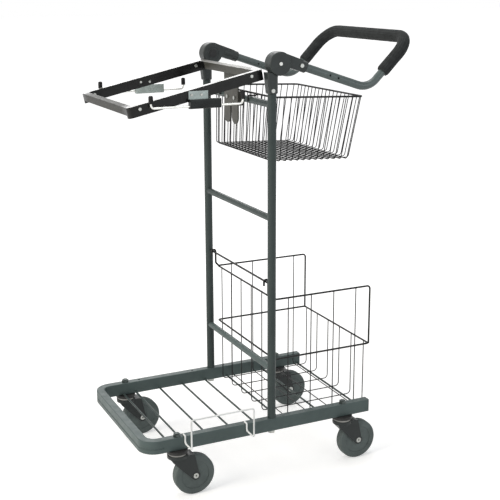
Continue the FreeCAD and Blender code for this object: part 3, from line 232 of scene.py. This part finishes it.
def spread(made, fac, low, high, from_low=0.3, from_high=0.7):
    """A value carried over from one span to another; the first span is where noise mostly lies."""
    ramp = add_node(made, "ShaderNodeMapRange", From_Min=from_low, From_Max=from_high,
                    To_Min=low, To_Max=high)
    join(made, fac, ramp.inputs["Value"])
    return ramp.outputs["Result"]


def blend(made, fac, first, second):
    """A colour between two, each a plain colour or another node's output."""
    mix = made.node_tree.nodes.new("ShaderNodeMix")
    mix.data_type = "RGBA"
    sockets = [socket for socket in mix.inputs if socket.type == "RGBA"]
    for socket, colour in zip(sockets, (first, second)):
        if isinstance(colour, tuple):
            socket.default_value = (*colour, 1.0)
        else:
            join(made, colour, socket)
    join(made, fac, mix.inputs[0])
    return [socket for socket in mix.outputs if socket.type == "RGBA"][0]


def scaled(colour, factor):
    return tuple(min(1.0, channel * factor) for channel in colour)


def mottled(made, colour, scale, detail, low, high):
    """A colour clouded between a darker and a lighter tone of itself."""
    fac = spread(made, noise(made, scale, detail), 0.0, 1.0)
    return blend(made, fac, scaled(colour, low), scaled(colour, high))


def beyond(made, axis, limit, soft):
    """A mask that is 1 where the object's coordinate on an axis, either way, is past a limit."""
    size = made.node_tree.nodes.new("ShaderNodeMath")
    size.operation = "ABSOLUTE"
    join(made, parted(made, "Object")[axis], size.inputs[0])
    return spread(made, size.outputs["Value"], 0.0, 1.0, limit - soft, limit + soft)


def bump(made, shader, height, strength, distance, under=None):
    relief = add_node(made, "ShaderNodeBump", Strength=strength, Distance=distance)
    join(made, height, relief.inputs["Height"])
    if under is not None:
        join(made, under, relief.inputs["Normal"])
    join(made, relief.outputs["Normal"], shader.inputs["Normal"])
    return relief.outputs["Normal"]


def grained(made, shader, scale, detail, strength, distance, edge):
    """A fine relief, with the normals turned gently round each edge as a coat leaves them."""
    soft = add_node(made, "ShaderNodeBevel", Radius=edge)
    bump(made, shader, noise(made, scale, detail), strength, distance, soft.outputs["Normal"])


def uneven_gloss(made, shader, roughness, scale, less, more, detail=4.0):
    clouds = spread(made, noise(made, scale, detail), roughness - less, roughness + more)
    join(made, clouds, shader.inputs["Roughness"])


def edge_lightened(made, colour, edge_colour, radius, amount, open_face=0.97, sharp_edge=0.72):
    """A colour that turns to another on edges, found where a rounded normal leaves the plain one."""
    edge = add_node(made, "ShaderNodeBevel", Radius=radius)
    plain = made.node_tree.nodes.new("ShaderNodeNewGeometry")
    likeness = made.node_tree.nodes.new("ShaderNodeVectorMath")
    likeness.operation = "DOT_PRODUCT"
    join(made, edge.outputs["Normal"], likeness.inputs[0])
    join(made, plain.outputs["Normal"], likeness.inputs[1])
    mask = spread(made, likeness.outputs["Value"], amount, 0.0, sharp_edge, open_face)
    return blend(made, mask, colour, edge_colour)


def hollow_shaded(made, colour, reach, amount=0.85, closed=0.1, clear=0.6):
    """A colour darkened in holes, grooves and seams, where little light reaches: painted shade."""
    near = add_node(made, "ShaderNodeAmbientOcclusion", Distance=reach)
    return blend(made, spread(made, near.outputs["AO"], amount, 0.0, closed, clear), colour, HOLLOW_SHADE)


def top_faces_lightened(made, colour, scale=70.0, least=0.75, from_up=0.88, full_up=0.94):
    """Painted highlight: the faces that look up in the node's own frame lightened, in patches, toward a
    paler grey.
    """
    shader = made.node_tree.nodes["Principled BSDF"]
    upward = spread(made, parted(made, "Normal")["Z"], 0.0, 1.0, from_up, full_up)
    patches = spread(made, noise(made, scale), least, 1.0)
    paint = shader.inputs["Base Color"].links[0].from_socket
    mask = combined(made, "MULTIPLY", upward, patches)
    join(made, blend(made, mask, paint, colour), shader.inputs["Base Color"])
    return made


# Kinds of finish

def coated(name, colour, roughness, grain, depth, edge_paling=0.0, gloss=0.25):
    """Paint or dip coat: two close tones, uneven gloss and fine orange peel; given edge_paling, paler edges
    and painted shade in holes and seams.
    """
    made, shader = new_material(name, colour, roughness, gloss=gloss)
    body = mottled(made, colour, scale=14.0, detail=5.0, low=0.88, high=1.14)
    if edge_paling:
        body = edge_lightened(made, body, scaled(colour, 2.4), radius=0.0012, amount=edge_paling)
        body = hollow_shaded(made, body, reach=0.02)
    join(made, body, shader.inputs["Base Color"])
    uneven_gloss(made, shader, roughness, scale=60.0, less=0.07, more=0.08, detail=3.0)
    grained(made, shader, scale=grain, detail=3.0, strength=0.25, distance=depth, edge=0.0007)
    return made


def moulded(name, colour, roughness):
    """Moulded plastic with a fine spark-eroded grain, a painted highlight on its edges and painted shade in
    its hollows.
    """
    made, shader = new_material(name, colour, roughness, gloss=0.3)
    body = mottled(made, colour, scale=25.0, detail=5.0, low=0.85, high=1.18)
    # Painted highlight: edges turned toward three times the colour
    body = edge_lightened(made, body, scaled(colour, 3.0), radius=0.0022, amount=0.6)
    join(made, hollow_shaded(made, body, reach=0.006), shader.inputs["Base Color"])
    uneven_gloss(made, shader, roughness, scale=150.0, less=0.06, more=0.1)
    grained(made, shader, scale=1500.0, detail=2.0, strength=0.35, distance=0.0002, edge=0.0015)
    return made


def plated(name, colour, roughness):
    """Plated steel: clouded gloss, a faint grain and slightly dull patches."""
    made, shader = new_material(name, colour, roughness, metallic=1.0)
    clouds = mottled(made, colour, scale=45.0, detail=6.0, low=0.75, high=1.15)
    join(made, clouds, shader.inputs["Base Color"])
    uneven_gloss(made, shader, roughness, scale=220.0, less=0.08, more=0.12)
    grained(made, shader, scale=900.0, detail=2.0, strength=0.15, distance=0.0001, edge=0.0006)
    return made


def zoned(name, axis, limit, near, far, soft=SHARP_CHANGE):
    """Two tones on one node, parted at a place on an axis, either a real change of finish or painted light
    and shade; each is colour, roughness and metal share.
    """
    made, shader = new_material(name, *near, gloss=0.2)
    mask = beyond(made, axis, limit, soft)
    tints = [mottled(made, finish[0], scale=45.0, detail=6.0, low=0.78, high=1.15) for finish in (near, far)]
    join(made, blend(made, mask, *tints), shader.inputs["Base Color"])
    level = spread(made, mask, near[1], far[1], 0.0, 1.0)
    clouds = spread(made, noise(made, 220.0), low=-0.06, high=0.08)
    join(made, combined(made, "ADD", level, clouds), shader.inputs["Roughness"])
    join(made, spread(made, mask, near[2], far[2], 0.0, 1.0), shader.inputs["Metallic"])
    grained(made, shader, scale=900.0, detail=2.0, strength=0.2, distance=0.0001, edge=0.0006)
    return made


def rubber(name, colour, roughness):
    """Matt rubber with a mould bloom, paler edges, a fine dry grain and painted shade in its hollows."""
    made, shader = new_material(name, colour, roughness, gloss=0.2)
    body = mottled(made, colour, scale=30.0, detail=6.0, low=0.84, high=1.18)
    body = edge_lightened(made, body, scaled(colour, 1.8), radius=0.0018, amount=0.35)
    join(made, hollow_shaded(made, body, reach=0.006), shader.inputs["Base Color"])
    uneven_gloss(made, shader, roughness, scale=90.0, less=0.1, more=0.08)
    grained(made, shader, scale=700.0, detail=3.0, strength=0.3, distance=0.0003, edge=0.0016)
    return made


def foam(name, colour, roughness):
    """Closed-cell foam: dull, slightly mottled, with small open cells on the skin."""
    made, shader = new_material(name, colour, roughness, gloss=0.12)
    clouds = mottled(made, colour, scale=120.0, detail=5.0, low=0.75, high=1.3)
    join(made, clouds, shader.inputs["Base Color"])
    place = made.node_tree.nodes.new("ShaderNodeTexCoord")
    cells = add_node(made, "ShaderNodeTexVoronoi", Scale=900.0)
    join(made, place.outputs["Object"], cells.inputs["Vector"])
    skin = bump(made, shader, cells.outputs["Distance"], strength=0.35, distance=0.0004)
    bump(made, shader, noise(made, 60.0, detail=3.0), strength=0.2, distance=0.002, under=skin)
    shader.inputs["Sheen Weight"].default_value = 0.04
    shader.inputs["Sheen Roughness"].default_value = 0.6
    return made


# Finishes of this cart: colour, roughness and, for a coat, the scale and depth of its peel

SLATE = (0.075, 0.103, 0.101)
# Painted light: the bag frame's black paint as it looks on faces turned toward the key lamp
LIT_OLIVE = (0.048, 0.047, 0.040)
BAG_BLACK = (0.007, 0.0075, 0.0075)
# Painted highlight: the grey that upward faces are lightened toward
TOP_HIGHLIGHT_GREY = (0.24, 0.24, 0.23)
# Painted shade: the dark that holes, grooves and seams are turned toward
HOLLOW_SHADE = (0.004, 0.004, 0.004)
PAINT = coated("slate_paint", SLATE, 0.42, 420.0, 0.0003, edge_paling=0.35)
HANDLE_PAINT = coated("handle_paint", scaled(SLATE, 0.9), 0.3, 420.0, 0.0003, edge_paling=0.35, gloss=0.5)
# Painted shade: the frame's paint at half its colour on the uprights and cross-bars
UPRIGHT_SHADED_PAINT = coated("upright_shaded_paint", scaled(SLATE, 0.5), 0.4, 420.0, 0.0003, edge_paling=0.35)
DECK_PAINT = coated("deck_wire_paint", scaled(SLATE, 0.55), 0.45, 500.0, 0.0002)
# Painted highlight: the bag side bars' upward faces lightened toward grey
BAG_PAINT = top_faces_lightened(coated("bag_side_paint", BAG_BLACK, 0.22, 420.0, 0.0002, edge_paling=0.45), TOP_HIGHLIGHT_GREY)
# Painted light: the bag bracket in the lit olive
BAG_LIT_OLIVE = coated("bag_bar_lit_paint", LIT_OLIVE, 0.36, 420.0, 0.0002, edge_paling=0.3)
WIRE_DIP = coated("black_wire_dip", (0.012, 0.0125, 0.013), 0.4, 600.0, 0.0002, gloss=0.2)
WHITE_DIP = coated("white_wire_dip", (0.80, 0.82, 0.82), 0.35, 500.0, 0.0002)
FORK_BLACK = coated("fork_black", (0.027, 0.032, 0.032), 0.36, 380.0, 0.0003, edge_paling=0.4)
PLASTIC = moulded("charcoal_plastic", (0.027, 0.033, 0.033), 0.36)
ZINC = plated("zinc_plate", (0.42, 0.43, 0.41), 0.36)
NUT_STEEL = plated("dark_nut", (0.085, 0.10, 0.097), 0.42)
BRIGHT = plated("bright_wire", (0.7, 0.7, 0.67), 0.24)
CASTER_TOP = zoned("caster_race", "Z", CASTER_RACE_TOP,
                   ((0.20, 0.20, 0.19), 0.34, 1.0), ((0.03, 0.03, 0.03), 0.42, 0.0))
PIVOT = zoned("pivot_pin", "Y", PIN_MIDDLE_Y,
              ((0.03, 0.031, 0.032), 0.45, 0.0), ((0.5, 0.5, 0.48), 0.32, 1.0))
# Painted light: the rear bar's middle in the lit olive, its ends in the frame's black, its upward faces
# lightened as a painted highlight
BAG_REAR = top_faces_lightened(zoned("bag_rear_paint", "Y", REAR_BAR_DARK_Y, (LIT_OLIVE, 0.38, 0.0), (BAG_BLACK, 0.26, 0.0)),
                  TOP_HIGHLIGHT_GREY)
# Painted light and shade: the front bar's middle in half the lit olive, its ends darkened to black as
# painted shade
BAG_FRONT = zoned("bag_front_paint", "Y", FRONT_BAR_SHADE_Y, (scaled(LIT_OLIVE, 0.5), 0.46, 0.0),
                  (BAG_BLACK, 0.26, 0.0), soft=FRONT_BAR_FADE)
# Painted shade and highlight: the near clamp dark below its barrel top and bright above; the far clamp, the
# same part, a lighter lit copy
CLAMP_SHADED_NEAR = zoned("clamp_near_shaded", "Z", CLAMP_BARREL_TOP,
                   ((0.02, 0.022, 0.022), 0.3, 0.6), ((0.30, 0.345, 0.335), 0.2, 0.9))
CLAMP_LIT_FAR = zoned("clamp_far_lit", "Z", CLAMP_BARREL_TOP,
                  ((0.30, 0.34, 0.32), 0.3, 0.9), ((0.34, 0.40, 0.37), 0.26, 0.9))
WHEEL = rubber("wheel_rubber", (0.106, 0.128, 0.125), 0.62)
TIP = rubber("tip_rubber", (0.014, 0.014, 0.015), 0.7)
FOAM = foam("grip_foam", (0.028, 0.031, 0.032), 0.9)

FINISH = {
    "frame_paint": PAINT, "deck_wire": DECK_PAINT, "black_wire": WIRE_DIP, "bag_paint": BAG_PAINT,
    "black_plastic": PLASTIC, "fork_black": FORK_BLACK, "zinc": ZINC, "wheel_rubber": WHEEL,
    "grip_foam": FOAM, "bright_wire": BRIGHT, "tip_rubber": TIP, "white_wire": WHITE_DIP,
}
NODE_FINISH = {
    "handle_tube": HANDLE_PAINT,
    "upright_left": UPRIGHT_SHADED_PAINT, "upright_right": UPRIGHT_SHADED_PAINT, "cross_bar_top": UPRIGHT_SHADED_PAINT,
    "cross_bar_middle": UPRIGHT_SHADED_PAINT, "caster_tops": CASTER_TOP, "pivot_pins": PIVOT,
    "clamp_body_left": CLAMP_SHADED_NEAR, "clamp_body_right": CLAMP_LIT_FAR, "bag_front_bar": BAG_FRONT,
    "bag_rear_bar": BAG_REAR, "bag_bracket": BAG_LIT_OLIVE, "caster_nuts": NUT_STEEL,
}


def paint_nodes():
    """Each construction node's finish, by its own name or else by its material slot."""
    for part in frame["record"]["subparts"]:
        node = frame["nodes"][part["node"]]
        finish = NODE_FINISH.get(part["node"], FINISH[part["material_slot"]])
        if not node.material_slots:
            node.data.materials.append(finish)
        for slot in node.material_slots:
            slot.material = finish


# Wire work

def rounded(points, bend, steps=BEND_STEPS):
    """The points of a bent wire, each inner corner turned on an arc of the given radius."""
    line = [points[0]]
    for before, corner, after in zip(points, points[1:], points[2:]):
        into = (corner - before).normalized()
        out = (after - corner).normalized()
        turn = into.angle(out)
        if turn < LEAST_TURN:
            continue
        shorter = min((corner - before).length, (after - corner).length)
        radius = min(bend, BEND_SHARE * shorter / math.tan(turn / 2))
        centre = corner + (out - into).normalized() * radius / math.cos(turn / 2)
        arm = corner - into * radius * math.tan(turn / 2) - centre
        axis = into.cross(out).normalized()
        for k in range(steps + 1):
            line.append(centre + Matrix.Rotation(turn * k / steps, 3, axis) @ arm)
    line.append(points[-1])
    return line


def tube(line, radius, sides, closed=False, profile=None, ribs=0):
    """Vertices and faces of a tube along a line; profile scales the radius along it, ribs groove it."""
    count = len(line)
    vertices = []
    faces = []
    across = None
    for k, point in enumerate(line):
        before = line[k - 1] if k or closed else point
        after = line[(k + 1) % count] if k + 1 < count or closed else point
        along = (after - before).normalized()
        if across is None:
            across = along.orthogonal().normalized()
        across = (across - along * across.dot(along)).normalized()
        up = along.cross(across)
        size = radius * (profile[k] if profile else 1.0)
        for s in range(sides):
            angle = 2 * math.pi * s / sides
            groove = 1.0 - RIB_DEPTH * (0.5 - 0.5 * math.cos(ribs * angle))
            vertices.append(point + (across * math.cos(angle) + up * math.sin(angle)) * size * groove)
    for k in range(count if closed else count - 1):
        first = k * sides
        second = (k + 1) % count * sides
        for s in range(sides):
            t = (s + 1) % sides
            faces.append((first + s, first + t, second + t, second + s))
    if not closed:
        faces.append(tuple(reversed(range(sides))))
        faces.append(tuple(range((count - 1) * sides, count * sides)))
    return vertices, faces


def piece(name, parts, finish, body, place=Matrix()):
    """One mesh object from several tubes, smooth, in the row frame, riding on a body."""
    vertices = []
    faces = []
    for part_vertices, part_faces in parts:
        start = len(vertices)
        vertices += [place @ v for v in part_vertices]
        faces += [tuple(start + i for i in face) for face in part_faces]
    mesh = bpy.data.meshes.new(name)
    mesh.from_pydata(vertices, [], faces)
    mesh.polygons.foreach_set("use_smooth", [len(face) == 4 for face in faces])
    mesh.materials.append(finish)
    made = bpy.data.objects.new(name, mesh)
    bpy.context.scene.collection.objects.link(made)
    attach(made, body)
    return made


def rectangle(x0, x1, half, z, bend):
    """A level closed line with rounded corners, begun in the middle of its rear side."""
    corners = [Vector((x1, 0, z)), Vector((x1, half, z)), Vector((x0, half, z)), Vector((x0, -half, z)),
               Vector((x1, -half, z)), Vector((x1, 0, z))]
    return rounded(corners, bend)[:-1]


def evenly(low, high, count):
    return [low + (high - low) * i / (count - 1) for i in range(count)]


def upper_basket():
    """Rim, wires bent down one wall, along the floor and up the other, and hooks on the cross-bar."""
    place = Matrix.Translation(UPPER_PLACE) @ Matrix.Rotation(UPPER_TILT, 4, "Y")
    floor = -UPPER_HEIGHT
    under = floor - 2 * UPPER_WIRE_R
    depth = UPPER_RIM_DEPTH
    parts = [tube(rectangle(0, depth, UPPER_RIM_HALF, 0, UPPER_CORNER), UPPER_RIM_R, RIM_SIDES, closed=True)]
    foot = UPPER_FLOOR_HALF
    rim = UPPER_RIM_HALF
    tops = evenly(UPPER_EDGE - rim, rim - UPPER_EDGE, UPPER_ACROSS + 1)
    feet = evenly(UPPER_EDGE - foot, foot - UPPER_EDGE, UPPER_ACROSS + 1)
    for high, low in zip(tops, feet):
        bent = [Vector((0, high, 0)), Vector((0, low, floor)), Vector((UPPER_FLOOR_DEPTH, low, floor)),
                Vector((depth, high, 0))]
        parts.append(tube(rounded(bent, UPPER_BEND), UPPER_WIRE_R, WIRE_SIDES))
    tops = evenly(UPPER_EDGE, depth - UPPER_EDGE, UPPER_ALONG + 1)
    feet = evenly(UPPER_EDGE, UPPER_FLOOR_DEPTH - UPPER_EDGE, UPPER_ALONG + 1)
    for high, low in zip(tops, feet):
        bent = [Vector((high, -rim, 0)), Vector((low, -foot, under)), Vector((low, foot, under)),
                Vector((high, rim, 0))]
        parts.append(tube(rounded(bent, UPPER_BEND), UPPER_WIRE_R, WIRE_SIDES))
    bar = place.inverted() @ Vector((0, 0, CROSS_BAR_Z))
    reach = CROSS_BAR_R + HOOK_GAP + UPPER_HOOK_R
    for y in (-UPPER_HOOK_Y, UPPER_HOOK_Y):
        front = bar.x - reach
        over = bar.z + reach
        hook = [Vector((0, y, 0)), Vector((-2 * UPPER_RIM_R, y, over)), Vector((front, y, over)),
                Vector((front, y, over - UPPER_HOOK_LIP))]
        parts.append(tube(rounded(hook, UPPER_HOOK_BEND), UPPER_HOOK_R, HOOK_SIDES))
    made = piece("upper_basket_wires", parts, WIRE_DIP, "upper_basket", place)
    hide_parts("upper_basket_rim", *["upper_basket_" + panel for panel in BASKET_PANELS])


def lower_basket():
    """Heavy top wire, middle rim and hooks, with lighter wires bent round inside them."""
    x0, x1, half = LOWER_FRONT, LOWER_REAR, LOWER_HALF
    right = [Vector((x1, half, LOWER_MIDDLE)), Vector((x1, half, LOWER_TOP)), Vector((x0, half, LOWER_TOP))]
    top = right + [Vector((p.x, -p.y, p.z)) for p in reversed(right)]
    middle = rectangle(x0, x1, half, LOWER_MIDDLE, LOWER_MIDDLE_BEND)
    parts = [tube(rounded(top, LOWER_TOP_BEND), LOWER_RIM_R, RIM_SIDES),
             tube(middle, LOWER_RIM_R, RIM_SIDES, closed=True)]
    skin = LOWER_RIM_R + LOWER_WIRE_R
    front = x0 + skin
    rear = x1 - skin
    side = half - skin
    outer = half - LOWER_LONG_IN
    for y in evenly(-outer, outer, LOWER_LONG_COUNT):
        bent = [Vector((front, y, LOWER_TOP)), Vector((front, y, LOWER_FLOOR)),
                Vector((rear, y, LOWER_FLOOR)), Vector((rear, y, LOWER_MIDDLE))]
        parts.append(tube(rounded(bent, LOWER_BEND), LOWER_WIRE_R, WIRE_SIDES))
    above = LOWER_FLOOR + 2 * LOWER_WIRE_R
    for x in evenly(x0 + LOWER_CROSS_IN, x1 - LOWER_CROSS_IN, LOWER_CROSS_COUNT):
        bent = [Vector((x, -side, LOWER_TOP)), Vector((x, -side, above)), Vector((x, side, above)),
                Vector((x, side, LOWER_TOP))]
        parts.append(tube(rounded(bent, LOWER_BEND), LOWER_WIRE_R, WIRE_SIDES))
    reach = HANGER_R + HOOK_GAP + LOWER_HOOK_R
    over = HANGER_Z + reach
    for y in (-LOWER_HOOK_Y, LOWER_HOOK_Y):
        hook = [Vector((x0, y, LOWER_TOP)), Vector((reach, y, HANGER_Z - LOWER_HOOK_NECK)),
                Vector((reach, y, over)), Vector((-reach, y, over)),
                Vector((-reach, y, over - LOWER_HOOK_LIP))]
        parts.append(tube(rounded(hook, reach), LOWER_HOOK_R, HOOK_SIDES))
    made = piece("lower_basket_wires", parts, WIRE_DIP, "lower_basket")
    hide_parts("lower_basket_frame", *["lower_basket_" + panel for panel in BASKET_PANELS])


def foam_grip():
    """Foam sleeve on the handle, its ends rolled in and its skin slightly uneven."""
    share = (GRIP_START - HANDLE_LOW.x) / (HANDLE_HIGH.x - HANDLE_LOW.x)
    start = HANDLE_LOW.lerp(HANDLE_HIGH, share)
    right = [start, HANDLE_HIGH]
    corners = right + [Vector((p.x, -p.y, p.z)) for p in reversed(right)]
    bends = rounded(corners, HANDLE_BEND, GRIP_BEND_STEPS)
    line = []
    for a, b in zip(bends, bends[1:]):
        steps = max(1, round((b - a).length / GRIP_STEP))
        line += [a.lerp(b, k / steps) for k in range(steps)]
    line.append(bends[-1])
    travelled = [0.0]
    for a, b in zip(line, line[1:]):
        travelled.append(travelled[-1] + (b - a).length)
    total = travelled[-1]
    profile = []
    for t in travelled:
        inset = max(0.0, 1.0 - min(t, total - t) / GRIP_ROLL)
        wave = sum(height * math.sin(t * pace + shift) for height, pace, shift in GRIP_WAVES)
        profile.append((1.0 - GRIP_ROLL_DEPTH * inset ** 2) * (1.0 + wave * (1.0 - inset)))
    sleeve = tube(line, GRIP_R, RIB_SIDES * GRIP_RIBS, profile=profile, ribs=GRIP_RIBS)
    made = piece("foam_grip", [sleeve], FOAM, "handle")
    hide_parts("handle_grip")


# Studio

def background_rays(tree):
    """A value that is 1 for rays that see the background: from the camera, off gloss or through glass."""
    path = tree.nodes.new("ShaderNodeLightPath")
    seen = path.outputs["Is Camera Ray"]
    for kind in ("Is Glossy Ray", "Is Transmission Ray"):
        either = tree.nodes.new("ShaderNodeMath")
        either.operation = "MAXIMUM"
        tree.links.new(seen, either.inputs[0])
        tree.links.new(path.outputs[kind], either.inputs[1])
        seen = either.outputs["Value"]
    return seen


def floor_material():
    """A pale floor that shades as usual, with a glow for background rays that grows away from the cart."""
    made, shader = new_material("studio_floor", FLOOR_WHITE, FLOOR_ROUGHNESS)
    tree = made.node_tree
    glow = add_node(made, "ShaderNodeEmission")
    place = tree.nodes.new("ShaderNodeTexCoord")
    reach = tree.nodes.new("ShaderNodeVectorMath")
    reach.operation = "LENGTH"
    join(made, place.outputs["Object"], reach.inputs[0])
    level = spread(made, reach.outputs["Value"], *FLOOR_GLOW, *FLOOR_GLOW_REACH)
    join(made, combined(made, "MULTIPLY", background_rays(tree), level), glow.inputs["Strength"])
    both = tree.nodes.new("ShaderNodeAddShader")
    join(made, shader.outputs["BSDF"], both.inputs[0])
    join(made, glow.outputs["Emission"], both.inputs[1])
    join(made, both.outputs["Shader"], tree.nodes["Material Output"].inputs["Surface"])
    return made


def studio_floor():
    size = FLOOR_HALF
    corners = [(-size, -size, 0), (size, -size, 0), (size, size, 0), (-size, size, 0)]
    mesh = bpy.data.meshes.new("studio_floor")
    mesh.from_pydata(corners, [], [(0, 1, 2, 3)])
    mesh.materials.append(floor_material())
    ground = bpy.data.objects.new("studio_floor", mesh)
    bpy.context.scene.collection.objects.link(ground)


def studio_world():
    """White to background rays, and a dim even light to all others."""
    world = bpy.data.worlds.new("studio")
    world.use_nodes = True
    tree = world.node_tree
    sky = tree.nodes["Background"]
    sky.inputs["Color"].default_value = (*WHITE, 1.0)
    level = tree.nodes.new("ShaderNodeMapRange")
    level.inputs["To Min"].default_value = WORLD_LEVEL
    level.inputs["To Max"].default_value = 1.0
    tree.links.new(background_rays(tree), level.inputs["Value"])
    tree.links.new(level.outputs["Result"], sky.inputs["Strength"])
    bpy.context.scene.world = world


def lamp(name, place, target, size, power, tint):
    """A round area lamp that the camera doesn't see."""
    light = bpy.data.lights.new(name, "AREA")
    light.shape = "DISK"
    light.size = size
    light.energy = power
    light.color = tint
    made = bpy.data.objects.new(name, light)
    made.location = place
    made.rotation_euler = (Vector(target) - Vector(place)).to_track_quat("-Z", "Y").to_euler()
    made.visible_camera = False
    bpy.context.scene.collection.objects.link(made)


def camera():
    """The photograph's camera, from the place and angles that were fitted to it."""
    a, e, r = CAMERA_AZIMUTH, CAMERA_ELEVATION, CAMERA_ROLL
    back = Vector((math.sin(a) * math.cos(e), -math.cos(a) * math.cos(e), math.sin(e)))
    level = Vector((math.cos(a), math.sin(a), 0))
    rise = back.cross(level)
    right = level * math.cos(r) + rise * math.sin(r)
    up = rise * math.cos(r) - level * math.sin(r)
    turn = Matrix((right, up, back)).transposed().to_4x4()
    data = bpy.data.cameras.new("photo_camera")
    data.sensor_width = CAMERA_SENSOR
    data.lens = CAMERA_LENS
    data.clip_end = CAMERA_REACH
    made = bpy.data.objects.new("photo_camera", data)
    made.matrix_world = Matrix.Translation(CAMERA_PLACE) @ turn
    bpy.context.scene.collection.objects.link(made)
    bpy.context.scene.camera = made


paint_nodes()
upper_basket()
lower_basket()
foam_grip()
studio_floor()
studio_world()
for lamp_name, lamp_values in LAMPS.items():
    lamp(lamp_name, *lamp_values)
camera()
bpy.context.scene.view_settings.view_transform = "Standard"
